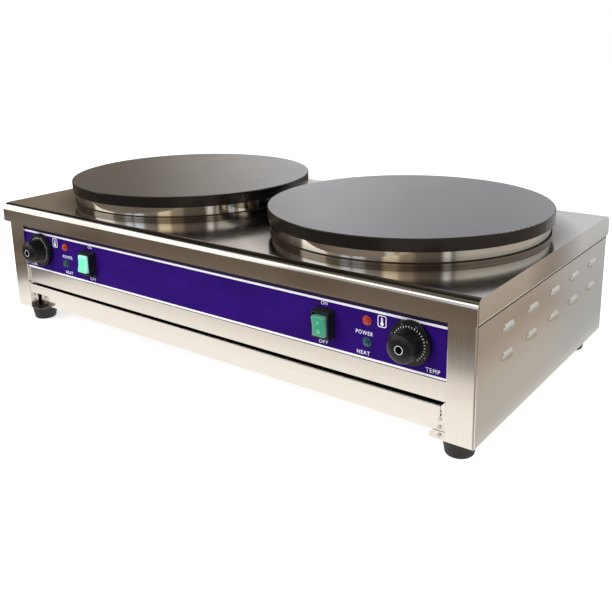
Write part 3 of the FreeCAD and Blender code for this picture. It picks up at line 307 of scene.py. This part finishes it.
STEEL_TONE = (0.74, 0.72, 0.69, 1)
FINISHES = {
    "steel_lengthwise": brushed_steel("steel_lengthwise", (6.0, 900.0, 900.0), STEEL_TONE, 0.13),
    "cover_steel": cover_steel(),
    "steel_crosswise": brushed_steel("steel_crosswise", (900.0, 6.0, 900.0), STEEL_TONE, 0.2),
    "steel_upright": brushed_steel("steel_upright", (900.0, 900.0, 6.0), STEEL_TONE, 0.14),
    "hidden_sheet": brushed_steel("hidden_sheet", (20.0, 500.0, 500.0), (0.5, 0.5, 0.5, 1), 0.4),
    "ring_steel": ring_steel("ring_steel", (0.74, 0.72, 0.68, 1)),
    "collar_steel": ring_steel("collar_steel", (0.44, 0.40, 0.35, 1)),
    "plate_iron": plate_iron(),
    "overlay_print": overlay_print(),
    "knob_black": grained_plastic("knob_black", shade(16, 16, 18), 0.3, specular=0.4),
    "cap_face": grained_plastic("cap_face", shade(30, 30, 33), 0.3, strength=0.1),
    "switch_black": grained_plastic("switch_black", shade(20, 20, 21), 0.42),
    "rocker_lit": rocker_lens("rocker_lit", -SWITCH_X, shade(96, 205, 165), shade(150, 225, 205),
                              shade(150, 245, 215), 0.28),
    "rocker_dark": rocker_lens("rocker_dark", SWITCH_X, shade(34, 146, 108), shade(84, 140, 126),
                               shade(40, 160, 115), 0.05),
    "rocker_mark": print_ink("rocker_mark", shade(150, 240, 205)),
    "seam_shadow": grained_plastic("seam_shadow", shade(30, 26, 22), 0.7),
    # a dark copy of the crosswise steel, painted shade for the left rail
    "rail_painted_shade": brushed_steel("rail_painted_shade", (900.0, 6.0, 900.0), (0.16, 0.13, 0.11, 1), 0.4),
    "lamp_amber": clear_lens("lamp_amber", shade(150, 42, 20), shade(255, 110, 60), 0.03),
    "lamp_green": clear_lens("lamp_green", shade(8, 60, 64), shade(60, 190, 160), 0.01),
    "lamp_holder": grained_plastic("lamp_holder", shade(70, 30, 40), 0.35),
    "foot_rubber": grained_plastic("foot_rubber", shade(17, 16, 18), 0.6, strength=0.4, size=500.0),
    "fastener_zinc": speckled_metal("fastener_zinc", (0.60, 0.60, 0.58, 1), 0.3),
    "shaft_steel": speckled_metal("shaft_steel", (0.55, 0.55, 0.54, 1), 0.25),
    "element_steel": speckled_metal("element_steel", (0.16, 0.16, 0.15, 1), 0.5),
    "blanket_fibre": grained_plastic("blanket_fibre", shade(222, 218, 206), 0.9, strength=0.8, size=300.0),
    "thermostat_case": grained_plastic("thermostat_case", shade(196, 186, 160), 0.55),
    "sensor_copper": speckled_metal("sensor_copper", (0.75, 0.40, 0.24, 1), 0.3),
    "gland_nylon": grained_plastic("gland_nylon", shade(34, 34, 36), 0.5),
    "terminal_ceramic": grained_plastic("terminal_ceramic", shade(228, 224, 214), 0.35),
    "earth_brass": speckled_metal("earth_brass", (0.72, 0.54, 0.24, 1), 0.28),
    "print_white": print_ink("print_white", shade(252, 248, 255)),
    "print_grey": print_ink("print_grey", shade(120, 120, 124)),
    "dial_marks": print_ink("dial_marks", shade(206, 208, 206)),
    # a dark finish for the bands along the film's top and bottom edges
    "film_edge_dark": print_ink("film_edge_dark", shade(24, 10, 44)),
}

NODE_FINISHES = {
    "top_cover": "cover_steel", "front_panel": "steel_lengthwise", "rear_panel": "steel_lengthwise",
    "tray_front": "steel_lengthwise", "deck_plate": "hidden_sheet", "tray_pan": "hidden_sheet",
    "control_overlay": "overlay_print", "element_clamps": "hidden_sheet",
    "insulation_blankets": "blanket_fibre", "plate_studs": "fastener_zinc", "stud_nuts": "fastener_zinc",
    "lamp_holders": "lamp_holder", "tray_rivets": "fastener_zinc", "foot_bolts": "fastener_zinc",
    "foot_nuts": "fastener_zinc", "cable_gland": "gland_nylon", "gland_locknut": "gland_nylon",
    "earth_stud": "earth_brass", "earth_nuts": "earth_brass", "terminal_block": "terminal_ceramic",
    "rear_screws": "fastener_zinc", "thermostat_screws": "fastener_zinc",
    "rocker_left": "rocker_lit", "rocker_right": "rocker_dark",
}
for side, _ in SIDES:
    NODE_FINISHES.update({
        f"post_{side}": "steel_upright", f"side_panel_{side}": "steel_crosswise",
        f"bottom_rail_{side}": "steel_crosswise", f"crepe_plate_{side}": "plate_iron",
        f"plate_skirt_{side}": "ring_steel", f"plate_collar_{side}": "collar_steel",
        f"heat_pan_{side}": "hidden_sheet", f"heating_element_{side}": "element_steel",
        f"knob_{side}": "knob_black", f"knob_cap_{side}": "cap_face",
        f"thermostat_shaft_{side}": "shaft_steel", f"thermostat_{side}": "thermostat_case",
        f"temperature_sensor_{side}": "sensor_copper", f"switch_housing_{side}": "switch_black",
        f"power_lens_{side}": "lamp_amber", f"heat_lens_{side}": "lamp_green",
        f"foot_front_{side}": "foot_rubber", f"foot_rear_{side}": "foot_rubber",
    })
# the left rail alone takes the dark copy: painted shade, while the right rail stays bright
NODE_FINISHES["bottom_rail_left"] = "rail_painted_shade"


def dress_cad_nodes():
    """Every CAD node gets the finish listed for it."""
    for name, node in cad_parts.items():
        finish = FINISHES[NODE_FINISHES[name]]
        node.data.materials.clear()
        node.data.materials.append(finish)


# New pieces

def alone(piece=None):
    """Deselect everything, then select and activate the given piece."""
    bpy.ops.object.select_all(action="DESELECT")
    if piece:
        piece.select_set(True)
        bpy.context.view_layer.objects.active = piece


def shape_all(kind):
    """Into edit mode, with every vertex, edge or face selected."""
    bpy.ops.object.mode_set(mode="EDIT")
    bpy.ops.mesh.select_mode(type=kind)
    bpy.ops.mesh.select_all(action="SELECT")


def settle(piece, name, finish, body):
    """Finish a modelled piece: its place goes into its mesh, and it rides on its body."""
    alone(piece)
    bpy.ops.object.transform_apply(location=True, rotation=True, scale=True)
    piece.name = name
    piece.data.materials.clear()
    piece.data.materials.append(FINISHES[finish])
    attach(piece, body)
    return piece


def flat_mark(width, height, corner, segments, place=(0, 0, 0), turn=(0, 0, 0)):
    """A flat mark with rounded corners."""
    alone()
    bpy.ops.mesh.primitive_plane_add(size=1, location=place, rotation=turn)
    mark = bpy.context.object
    mark.scale = (width, height, 1)
    bpy.ops.object.transform_apply(location=False, rotation=False, scale=True)
    shape_all("VERT")
    bpy.ops.mesh.bevel(offset=corner, segments=segments, affect="VERTICES")
    bpy.ops.object.mode_set(mode="OBJECT")
    return mark


def disc(radius, corners, place=(0, 0, 0), turn=(0, 0, 0)):
    """A flat round mark."""
    alone()
    bpy.ops.mesh.primitive_circle_add(vertices=corners, radius=radius, fill_type="NGON",
                                      location=place, rotation=turn)
    return bpy.context.object


def leave_outline(mark, line):
    """Cut away all of a flat mark but a line along its edge."""
    alone(mark)
    shape_all("FACE")
    bpy.ops.mesh.inset(thickness=line)
    bpy.ops.mesh.delete(type="FACE")
    bpy.ops.object.mode_set(mode="OBJECT")


def lettering(words, size=1.0, boldness=0.0, spacing=1.0):
    """Words as a flat mesh, centred and facing up."""
    alone()
    bpy.ops.object.text_add(location=(0, 0, 0))
    text = bpy.context.object
    text.data.body = words
    text.data.align_x = "CENTER"
    text.data.align_y = "CENTER"
    text.data.size = size
    text.data.offset = boldness
    text.data.space_character = spacing
    bpy.ops.object.convert(target="MESH")
    return bpy.context.object


def printed_bar(name, x0, x1, z0, z1, finish, layer=1):
    """A printed line: a flat ink bar with softened corners, on the film's face."""
    middle = ((x0 + x1) / 2, FILM_FRONT - PRINT_LIFT * layer, (z0 + z1) / 2)
    bar = flat_mark(x1 - x0, z1 - z0, (z1 - z0) * 0.2, 3, middle, TOWARDS_COOK)
    return settle(bar, name, finish, "casing")


def wording(name, words, x, z, width, height):
    """One printed word, set to a given width and height on the film."""
    text = lettering(words, boldness=0.004, spacing=1.2)
    corners = [Vector(corner) for corner in text.bound_box]
    low = Vector(map(min, *corners))
    high = Vector(map(max, *corners))
    middle = (low + high) / 2
    stretch = Matrix.Diagonal((width / (high.x - low.x), height / (high.y - low.y), 1, 1))
    turn = Matrix.Rotation(math.pi / 2, 4, "X")
    place = Matrix.Translation((x, FILM_FRONT - PRINT_LIFT, z))
    text.matrix_world = place @ turn @ stretch @ Matrix.Translation(-middle)
    return settle(text, name, "print_white", "casing")


def print_the_film():
    """The lines along the film's edges, the words and the temperature signs."""
    left, right = FILM_LOW[0] + 0.0004, FILM_HIGH[0] - 0.0004
    printed_bar("film_line_top", left, right, 0.1596, 0.1626, "print_white")
    printed_bar("film_line_bottom", left, right, 0.0980, 0.1008, "print_white")
    # dark bands along the film's top and bottom edges
    printed_bar("film_edge_top", left, right, 0.1638, FILM_HIGH[2] - 0.0001, "film_edge_dark")
    printed_bar("film_edge_bottom", left, right, FILM_LOW[2] + 0.0001, 0.0978, "film_edge_dark")
    for side, sign in SIDES:
        wording(f"word_on_{side}", "ON", sign * 0.2235, 0.1568, 0.0094, 0.0046)
        wording(f"word_off_{side}", "OFF", sign * 0.2215, 0.1058, 0.0136, 0.0047)
        wording(f"word_power_{side}", "POWER", sign * 0.2817, 0.1314, 0.0240, 0.0050)
        wording(f"word_heat_{side}", "HEAT", sign * 0.2802, 0.1060, 0.0180, 0.0050)
        wording(f"word_temp_{side}", "TEMP", sign * 0.3733, 0.1060, 0.0182, 0.0052)
        thermometer_sign(side, sign * 0.3088 - 0.0027, 0.1507)


def thermometer_sign(side, x, z):
    """The temperature sign beside each dial: a thermometer in a rounded frame."""
    place = (x, FILM_FRONT - PRINT_LIFT, z)
    border = flat_mark(0.0120, 0.0148, 0.0026, 6, place, TOWARDS_COOK)
    leave_outline(border, 0.0011)
    settle(border, f"sign_frame_{side}", "print_white", "casing")
    bulb_z = z - 0.0030
    bulb = disc(0.0023, 24, (x, FILM_FRONT - PRINT_LIFT, bulb_z), TOWARDS_COOK)
    settle(bulb, f"sign_bulb_{side}", "print_white", "casing")
    printed_bar(f"sign_stem_{side}", x - 0.0012, x + 0.0012, bulb_z + 0.0008, z + 0.0050, "print_white", 2)


def twin(piece, name, shift):
    """A copy of a finished piece with a mesh of its own, moved along X."""
    copy = piece.copy()
    copy.data = piece.data.copy()
    copy.name = name
    bpy.context.scene.collection.objects.link(copy)
    copy.data.transform(Matrix.Translation((shift, 0, 0)))
    return copy


def select_vertices(piece, wanted):
    """In edit mode, select just the vertices that a test picks."""
    bpy.ops.mesh.select_mode(type="VERT")
    bpy.ops.mesh.select_all(action="DESELECT")
    bpy.ops.object.mode_set(mode="OBJECT")
    for vertex in piece.data.vertices:
        vertex.select = wanted(vertex.co)
    bpy.ops.object.mode_set(mode="EDIT")


def soften(piece, width, segments):
    """Round a piece's edges and smooth its faces."""
    alone(piece)
    rounding = piece.modifiers.new("rounding", "BEVEL")
    rounding.width = width
    rounding.segments = segments
    rounding.limit_method = "ANGLE"
    rounding.angle_limit = math.radians(28)
    bpy.ops.object.modifier_apply(modifier="rounding")
    bpy.ops.object.shade_smooth_by_angle(angle=math.radians(32))


# The knobs' planes along Y, the radii on their dials, and the angle between two points of their outline
DIAL_BACK = -0.2146
DIAL_FRONT = -0.2210
GRIP_FRONT = -0.2435
DIAL_RADIUS = 0.0271
TICK_CIRCLE = 0.0205
NUMBER_CIRCLE = 0.0239
KNOB_POINTS = 96


def point_number(place):
    """Which point of the knob's outline a vertex stands at, counted round the knob."""
    return math.atan2(place.y, place.x) / math.tau * KNOB_POINTS


def knob():
    """One control knob: a flat dial with a knurled edge and a fluted, slightly domed grip."""
    alone()
    thick = DIAL_BACK - DIAL_FRONT
    grip = DIAL_FRONT - GRIP_FRONT
    bpy.ops.mesh.primitive_cylinder_add(vertices=KNOB_POINTS, radius=DIAL_RADIUS, depth=thick,
                                        location=(0, 0, thick / 2))
    piece = bpy.context.object
    bpy.ops.object.transform_apply(location=True, rotation=False, scale=False)
    bpy.ops.object.mode_set(mode="EDIT")
    select_vertices(piece, lambda place: place.z > thick - 0.0001)
    bpy.ops.mesh.select_mode(type="FACE")
    bpy.ops.mesh.inset(thickness=0.0008)
    bpy.ops.mesh.inset(thickness=0.0077)
    # each step up the grip: its rise, and how much narrower it ends
    steps = ((0.0012, 0.985), (grip - 0.0059, 0.975), (0.0020, 0.965), (0.0014, 0.88), (0.0013, 0.64))
    for rise, narrower in steps:
        bpy.ops.mesh.extrude_region_move(TRANSFORM_OT_translate={"value": (0, 0, rise)})
        bpy.ops.transform.resize(value=(narrower, narrower, 1))
    # the knurled edge: every other point drawn in
    select_vertices(piece, lambda place: place.z < thick + 0.0001 and place.xy.length > DIAL_RADIUS - 0.0003
                    and round(point_number(place)) % 2 == 0)
    bpy.ops.transform.resize(value=(0.982, 0.982, 1))
    # the flutes: every eighth point of the grip drawn in deepest, its neighbours less
    for spread, deeper in ((2, 0.992), (1, 0.99), (0, 0.992)):
        select_vertices(piece, lambda place: thick + 0.0003 < place.z < thick + grip - 0.0008
                        and spread >= abs((point_number(place) + 4) % 8 - 4))
        bpy.ops.transform.resize(value=(deeper, deeper, 1))
    bpy.ops.object.mode_set(mode="OBJECT")
    soften(piece, 0.0004, 2)
    piece.location = (-KNOB_X, DIAL_BACK, KNOB_Z)
    piece.rotation_euler = TOWARDS_COOK
    return settle(piece, "knob_dress_left", "knob_black", "knob_left_body")


def on_dial(piece, radius, degrees):
    """Stand a flat mark on the left dial's face, at an angle clockwise from its top."""
    turn = Matrix.Rotation(math.radians(degrees), 4, "Y")
    place = Matrix.Translation((-KNOB_X, DIAL_FRONT - 0.0001, KNOB_Z)) @ turn
    piece.matrix_world = place @ Matrix.Translation((0, 0, radius)) @ Matrix.Rotation(math.pi / 2, 4, "X")
    alone(piece)
    bpy.ops.object.transform_apply(location=True, rotation=True, scale=True)


def gather(pieces):
    """Join pieces that belong to one print."""
    alone(pieces[0])
    for piece in pieces:
        piece.select_set(True)
    bpy.ops.object.join()
    return bpy.context.object


def dial_marks():
    """The scale on the left dial: ticks all round its travel and plain numbers outside them."""
    first = flat_mark(0.0010, 0.0021, 0.0001, 2)
    ticks = []
    for count in range(29):
        tick = first.copy()
        tick.data = first.data.copy()
        bpy.context.scene.collection.objects.link(tick)
        on_dial(tick, TICK_CIRCLE, -145 + 10.36 * count)
        ticks.append(tick)
    bpy.data.objects.remove(first)
    scale = settle(gather(ticks), "dial_ticks_left", "dial_marks", "knob_left_body")
    numbers = []
    for count, number in enumerate((50, 100, 150, 200, 250, 300)):
        text = lettering(str(number), size=0.0027)
        on_dial(text, NUMBER_CIRCLE, -120 + 48 * count)
        numbers.append(text)
    figures = settle(gather(numbers), "dial_numbers_left", "print_grey", "knob_left_body")
    return scale, figures


def cap_ring():
    """A plain printed ring on the left knob's cap."""
    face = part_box("knob_cap_left")[0][1]
    ring = disc(0.0055, 64, (-KNOB_X, face - 0.0001, KNOB_Z), TOWARDS_COOK)
    leave_outline(ring, 0.0009)
    return settle(ring, "cap_ring_left", "dial_marks", "knob_left_body")


def dress_the_knobs():
    """Both knobs with their scales and cap rings, the right ones copied from the left."""
    left = knob()
    marks = [*dial_marks(), cap_ring()]
    right = twin(left, "knob_dress_right", 2 * KNOB_X)
    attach(right, "knob_right_body")
    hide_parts("knob_left")
    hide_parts("knob_right")
    for mark in marks:
        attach(twin(mark, mark.name.replace("left", "right"), 2 * KNOB_X), "knob_right_body")


# The rockers' pivot along Y, their size, their face and its valley seen from the pivot
PIVOT_Y = -0.2166
ROCKER_SIZE = (0.0205, 0.0125, 0.0268)
ROCKER_FACE = -0.0140
VALLEY_DEPTH = 0.0015
VALLEY_RUN = 0.0127


def block(middle, size):
    """A plain block, with its size in its mesh."""
    alone()
    bpy.ops.mesh.primitive_cube_add(size=1, location=middle)
    piece = bpy.context.object
    piece.scale = size
    bpy.ops.object.transform_apply(location=True, rotation=False, scale=True)
    return piece


def dress_the_rockers():
    """Rockers with rounded edges and a shallow valley, one pressed at its top and one at its bottom."""
    for side, sign, pressed_end, finish in (("left", -1, 1, "rocker_lit"), ("right", 1, -1, "rocker_dark")):
        piece = block((0, ROCKER_FACE + ROCKER_SIZE[1] / 2, 0), ROCKER_SIZE)
        shape_all("VERT")
        bpy.ops.mesh.subdivide(number_cuts=1)
        select_vertices(piece, lambda place: place.y < ROCKER_FACE + 0.0005 and abs(place.z) < 0.001)
        bpy.ops.transform.translate(value=(0, VALLEY_DEPTH, 0))
        bpy.ops.object.mode_set(mode="OBJECT")
        soften(piece, 0.0023, 4)
        tilt = Matrix.Rotation(math.radians(-6 * pressed_end), 4, "X")
        place = Matrix.Translation((sign * SWITCH_X, PIVOT_Y, SWITCH_Z)) @ tilt
        piece.matrix_world = place
        settle(piece, f"rocker_dress_{side}", finish, f"rocker_{side}_body")
        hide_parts(f"rocker_{side}")
        rocker_marks(side, place)


def rocker_marks(side, place):
    """The bar and the ring that show the two ends of the switch."""
    slope = math.atan2(VALLEY_DEPTH, VALLEY_RUN)
    height = 0.0060
    depth = ROCKER_FACE + VALLEY_DEPTH * (1 - height / VALLEY_RUN) - 0.0001
    bar = flat_mark(0.0012, 0.0046, 0.0003, 2)
    ring = disc(0.0022, 40)
    leave_outline(ring, 0.0007)
    for name, mark, end in (("bar", bar, 1), ("ring", ring, -1)):
        mark.matrix_world = (place @ Matrix.Translation((0, depth, end * height))
                             @ Matrix.Rotation(math.pi / 2 + end * slope, 4, "X"))
        settle(mark, f"rocker_{name}_{side}", "rocker_mark", f"rocker_{side}_body")


def edge_strip(name, low, high, rounding, finish):
    """A thin straight strip between two corners, with rounded edges."""
    strip = block([(a + b) / 2 for a, b in zip(low, high)], [b - a for a, b in zip(low, high)])
    shape_all("VERT")
    bpy.ops.mesh.bevel(offset=rounding, segments=2, affect="EDGES")
    bpy.ops.object.mode_set(mode="OBJECT")
    return settle(strip, name, finish, "casing")


def ring_joints():
    """A dark band where each plate's skirt meets its collar: painted shadow of the joint."""
    alone()
    # painted shadow: a thin dark band round each plate at the skirt's top
    bpy.ops.mesh.primitive_circle_add(vertices=192, radius=0.1966, location=(PLATE_X, PLATE_Y, 0.2085))
    ring = bpy.context.object
    bpy.ops.object.transform_apply(location=True, rotation=False, scale=False)
    shape_all("EDGE")
    bpy.ops.mesh.extrude_region_move(TRANSFORM_OT_translate={"value": (0, 0, 0.0012)})
    bpy.ops.mesh.extrude_region_move(TRANSFORM_OT_translate={"value": (0, 0, 0.0002)})
    bpy.ops.transform.resize(value=(0.9915, 0.9915, 1))
    bpy.ops.object.mode_set(mode="OBJECT")
    ring = settle(ring, "ring_joint_right", "seam_shadow", "casing")
    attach(twin(ring, "ring_joint_left", -2 * PLATE_X), "casing")


def dress_the_cover():
    """The folded edge round the cover's sides, a dark strip under it and dark lines at the front corners,
    both painted shadow.
    """
    hem = edge_strip("cover_hem_right", (0.4299, -0.2235, 0.1749), (0.4304, 0.2235, 0.1759), 0.0002,
                     "steel_crosswise")
    # painted shadow: a dark strip on the side panel just under the cover's edge
    hem_shadow = edge_strip("cover_joint_right", (0.4272, -0.2160, 0.1709), (0.4280, 0.2225, 0.1747), 0.0002,
                       "seam_shadow")
    # painted shadow: a dark line at each front corner of the cover
    corner = edge_strip("corner_joint_right", (0.4298, -0.2222, 0.1752), (0.4302, -0.2214, 0.2015), 0.0001,
                        "seam_shadow")
    for piece, shift in ((hem, 0.8603), (hem_shadow, 0.8552), (corner, 0.8600)):
        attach(twin(piece, piece.name.replace("right", "left"), -shift), "casing")


# The picture's surroundings

def shining(tree, kind, colour, strength=1.0):
    """A surface or backdrop that shines in one colour."""
    source = tree.nodes.new(kind)
    feed(tree, source.inputs["Color"], colour)
    source.inputs["Strength"].default_value = strength
    return source.outputs[0]


def by_ray(tree, ray, otherwise, seen):
    """What one kind of ray sees, and what all the others do."""
    light_path = tree.nodes.new("ShaderNodeLightPath")
    chooser = tree.nodes.new("ShaderNodeMixShader")
    tree.links.new(light_path.outputs[ray], chooser.inputs[0])
    tree.links.new(otherwise, chooser.inputs[1])
    tree.links.new(seen, chooser.inputs[2])
    return chooser.outputs[0]


def studio_floor():
    """A pale paper floor; polished metal mirrors a floor of its own."""
    alone()
    bpy.ops.mesh.primitive_plane_add(size=16, location=(0, 0, 0))
    floor = bpy.context.object
    floor.name = "studio_floor"
    finish = bpy.data.materials.new("studio_floor")
    finish.use_nodes = True
    tree = finish.node_tree
    tree.nodes.clear()
    output = tree.nodes.new("ShaderNodeOutputMaterial")
    paper = tree.nodes.new("ShaderNodeBsdfDiffuse")
    paper.inputs["Color"].default_value = (0.7, 0.7, 0.7, 1)
    lifted = tree.nodes.new("ShaderNodeAddShader")
    tree.links.new(paper.outputs[0], lifted.inputs[0])
    tree.links.new(shining(tree, "ShaderNodeEmission", WHITE, 0.68), lifted.inputs[1])
    plain = by_ray(tree, "Is Camera Ray", paper.outputs[0], lifted.outputs[0])
    mirrored = shining(tree, "ShaderNodeEmission", floor_in_metal(tree))
    tree.links.new(by_ray(tree, "Is Glossy Ray", plain, mirrored), output.inputs["Surface"])
    floor.data.materials.append(finish)


def floor_in_metal(tree):
    """What polished metal sees of the floor: bright paper near the appliance, a brown floor past it."""
    axes = object_axes(tree)
    sideways, forwards = [
        computed(tree, "MAXIMUM", computed(tree, "SUBTRACT", computed(tree, "ABSOLUTE", axes[axis]), half), 0)
        for axis, half in (("X", 0.43), ("Y", 0.225))
    ]
    before_cook = ramp(tree, length_of(tree, sideways, forwards), [
        (0.0, (1.24, 1.19, 1.12, 1)),
        (0.12, (1.19, 1.12, 1.04, 1)),
        (0.15, (1.05, 0.97, 0.89, 1)),
        (0.188, (0.98, 0.91, 0.84, 1)),
        (0.204, (0.77, 0.71, 0.65, 1)),
        (0.22, (0.49, 0.46, 0.43, 1)),
        (0.242, (0.34, 0.32, 0.29, 1)),
        (0.28, (0.27, 0.235, 0.20, 1)),
        (0.305, (0.23, 0.19, 0.15, 1)),
        (0.335, (0.15, 0.115, 0.085, 1)),
        (0.36, (0.22, 0.18, 0.14, 1)),
        (0.40, (0.22, 0.165, 0.12, 1)),
        (0.45, (0.165, 0.12, 0.088, 1)),
        (0.50, (0.15, 0.11, 0.08, 1)),
        (0.70, (0.24, 0.20, 0.16, 1)),
        (1.0, (0.14, 0.11, 0.09, 1)),
    ])
    warm = ramp(tree, sideways, [
        (0.0, (0.50, 0.48, 0.45, 1)),
        (0.031, (0.545, 0.52, 0.48, 1)),
        (0.06, (0.60, 0.555, 0.505, 1)),
        (0.092, (0.58, 0.53, 0.455, 1)),
        (0.111, (0.55, 0.46, 0.38, 1)),
        (0.128, (0.39, 0.29, 0.225, 1)),
        (0.16, (0.37, 0.28, 0.21, 1)),
        (0.182, (0.48, 0.385, 0.30, 1)),
        (0.24, (0.52, 0.45, 0.38, 1)),
        (1.0, (0.45, 0.40, 0.35, 1)),
    ])
    plain = ramp(tree, sideways, [
        (0.0, (0.50, 0.50, 0.49, 1)),
        (0.12, (0.52, 0.52, 0.52, 1)),
        (0.18, (0.56, 0.56, 0.56, 1)),
        (0.23, (0.66, 0.66, 0.66, 1)),
        (1.0, (0.66, 0.66, 0.67, 1)),
    ])
    # a straight edge on the ground that the side panel shows upright
    leaning = computed(tree, "MULTIPLY_ADD", sideways, -2.9, axes["Y"])
    beside = blended(tree, to_range(tree, leaning, 0, 1, 0.02, 0.06), warm, plain)
    right_hand = to_range(tree, axes["X"], 0, 1, 0.42, 0.46)
    return blended(tree, right_hand, before_cook, beside)


def ramp(tree, value, stops):
    """A colour ramp with the given stops."""
    node = tree.nodes.new("ShaderNodeValToRGB")
    elements = node.color_ramp.elements
    while len(elements) > 1:
        elements.remove(elements[-1])
    elements[0].position, elements[0].color = stops[0]
    for position, colour in stops[1:]:
        element = elements.new(position)
        element.color = colour
    tree.links.new(value, node.inputs["Fac"])
    return node.outputs["Color"]


def room():
    """White behind the object, even light on it, and a room of light and dark for metal to mirror."""
    world = bpy.data.worlds.new("studio")
    bpy.context.scene.world = world
    world.use_nodes = True
    tree = world.node_tree
    tree.nodes.clear()
    output = tree.nodes.new("ShaderNodeOutputWorld")
    coordinates = tree.nodes.new("ShaderNodeTexCoord")
    axes = axes_of(tree, coordinates.outputs["Generated"])
    around = computed(tree, "ARCTAN2", axes["Y"], axes["X"])
    turn = to_range(tree, around, 0, 1, -math.pi, math.pi)
    # 0 and 1 are towards -X, 0.25 towards the cook, 0.5 towards +X, 0.75 to the back
    dark = (0.12, 0.095, 0.075, 1)
    walls = ramp(tree, turn, [
        (0.0, dark),
        (0.066, (0.20, 0.16, 0.13, 1)),
        (0.074, (1.6, 1.55, 1.45, 1)),
        (0.140, (1.6, 1.55, 1.45, 1)),
        (0.148, (0.55, 0.50, 0.44, 1)),
        (0.178, (0.40, 0.36, 0.31, 1)),
        (0.186, (0.95, 1.02, 1.15, 1)),
        (0.202, (0.95, 1.02, 1.15, 1)),
        (0.207, (0.25, 0.24, 0.25, 1)),
        (0.212, (0.95, 1.02, 1.15, 1)),
        (0.234, (0.85, 0.90, 1.0, 1)),
        (0.241, (0.30, 0.27, 0.24, 1)),
        (0.276, (0.24, 0.20, 0.17, 1)),
        (0.281, (1.0, 0.84, 0.62, 1)),
        (0.308, (0.95, 0.78, 0.55, 1)),
        (0.316, (0.40, 0.31, 0.22, 1)),
        (0.343, (0.32, 0.25, 0.18, 1)),
        (0.350, (0.13, 0.10, 0.08, 1)),
        (0.405, (0.11, 0.09, 0.07, 1)),
        (0.411, (0.80, 0.78, 0.74, 1)),
        (0.422, (0.80, 0.78, 0.74, 1)),
        (0.428, (0.10, 0.09, 0.08, 1)),
        (0.438, (0.50, 0.48, 0.44, 1)),
        (0.460, (0.64, 0.60, 0.53, 1)),
        (0.66, (0.70, 0.70, 0.69, 1)),
        (0.800, (0.70, 0.71, 0.73, 1)),
        (0.814, (0.58, 0.58, 0.60, 1)),
        (0.832, (0.66, 0.66, 0.69, 1)),
        (0.852, (0.90, 0.90, 0.93, 1)),
        (0.868, (0.68, 0.63, 0.58, 1)),
        (0.888, (0.26, 0.215, 0.165, 1)),
        (1.0, dark),
    ])
    # above the walls hangs a dark ceiling
    ceiling = ramp(tree, axes["Z"], [
        (0.0, (1.0, 1.0, 1.0, 1)),
        (0.42, (1.0, 1.0, 1.0, 1)),
        (0.50, (0.10, 0.09, 0.075, 1)),
        (1.0, (0.10, 0.09, 0.075, 1)),
    ])
    walls = blended(tree, 1, walls, ceiling, "MULTIPLY")
    # windows of light high on two of the walls
    height = ramp(tree, axes["Z"], [
        (0.0, (0.0, 0.0, 0.0, 1)),
        (0.35, (0.0, 0.0, 0.0, 1)),
        (0.40, (1.0, 1.0, 1.0, 1)),
        (0.56, (1.0, 1.0, 1.0, 1)),
        (0.62, (0.0, 0.0, 0.0, 1)),
    ])
    facing_window = ramp(tree, turn, [
        (0.0, (0.0, 0.0, 0.0, 1)),
        (0.03, (1.0, 1.0, 1.0, 1)),
        (0.24, (1.0, 1.0, 1.0, 1)),
        (0.30, (0.25, 0.25, 0.25, 1)),
        (0.50, (0.0, 0.0, 0.0, 1)),
        (0.60, (0.0, 0.0, 0.0, 1)),
        (0.64, (0.7, 0.7, 0.7, 1)),
        (0.76, (0.7, 0.7, 0.7, 1)),
        (0.80, (0.0, 0.0, 0.0, 1)),
    ])
    window = computed(tree, "MULTIPLY", height, facing_window)
    mirrored = shining(tree, "ShaderNodeBackground", blended(tree, window, walls, (2.0, 1.95, 1.85, 1)))
    even = shining(tree, "ShaderNodeBackground", (0.98, 0.99, 1.0, 1), 0.7)
    white = shining(tree, "ShaderNodeBackground", WHITE)
    lit = by_ray(tree, "Is Glossy Ray", even, mirrored)
    tree.links.new(by_ray(tree, "Is Camera Ray", lit, white), output.inputs["Surface"])


def lamp(name, place, size, watts):
    """A soft square lamp that looks at the appliance and isn't mirrored in it."""
    alone()
    bpy.ops.object.light_add(type="AREA", location=place)
    light = bpy.context.object
    light.name = name
    light.data.size = size
    light.data.energy = watts
    light.visible_glossy = False
    aim = Vector((0, 0, 0.1)) - Vector(place)
    light.rotation_euler = aim.to_track_quat("-Z", "Y").to_euler()


def photographer():
    """The camera at the photograph's place, with its lens shift."""
    yaw, pitch, roll = 0.6396, 0.2531, -0.0166
    right = Vector((math.cos(yaw), math.sin(yaw), 0))
    ahead = Vector((-math.sin(yaw) * math.cos(pitch), math.cos(yaw) * math.cos(pitch), -math.sin(pitch)))
    up = right.cross(ahead)
    across = right * math.cos(roll) + up * math.sin(roll)
    above = up * math.cos(roll) - right * math.sin(roll)
    camera = bpy.data.objects.new("photographer", bpy.data.cameras.new("photographer"))
    bpy.context.scene.collection.objects.link(camera)
    camera.matrix_world = Matrix.Translation((0.76022, -0.94896, 0.48790)) @ Matrix((
        (across.x, above.x, -ahead.x, 0),
        (across.y, above.y, -ahead.y, 0),
        (across.z, above.z, -ahead.z, 0),
        (0, 0, 0, 1),
    ))
    camera.data.sensor_width = 36
    camera.data.lens = 46.57
    camera.data.shift_x = -0.0166
    camera.data.shift_y = -0.129
    camera.data.clip_start = 0.05
    bpy.context.scene.camera = camera


photographer()
dress_cad_nodes()
print_the_film()
dress_the_knobs()
dress_the_rockers()
dress_the_cover()
ring_joints()
studio_floor()
room()
lamp("key_light", (-1.2, -1.6, 2.2), 1.8, 62)
lamp("fill_light", (1.9, -0.6, 1.6), 1.6, 14)
bpy.context.scene.view_settings.view_transform = "Standard"
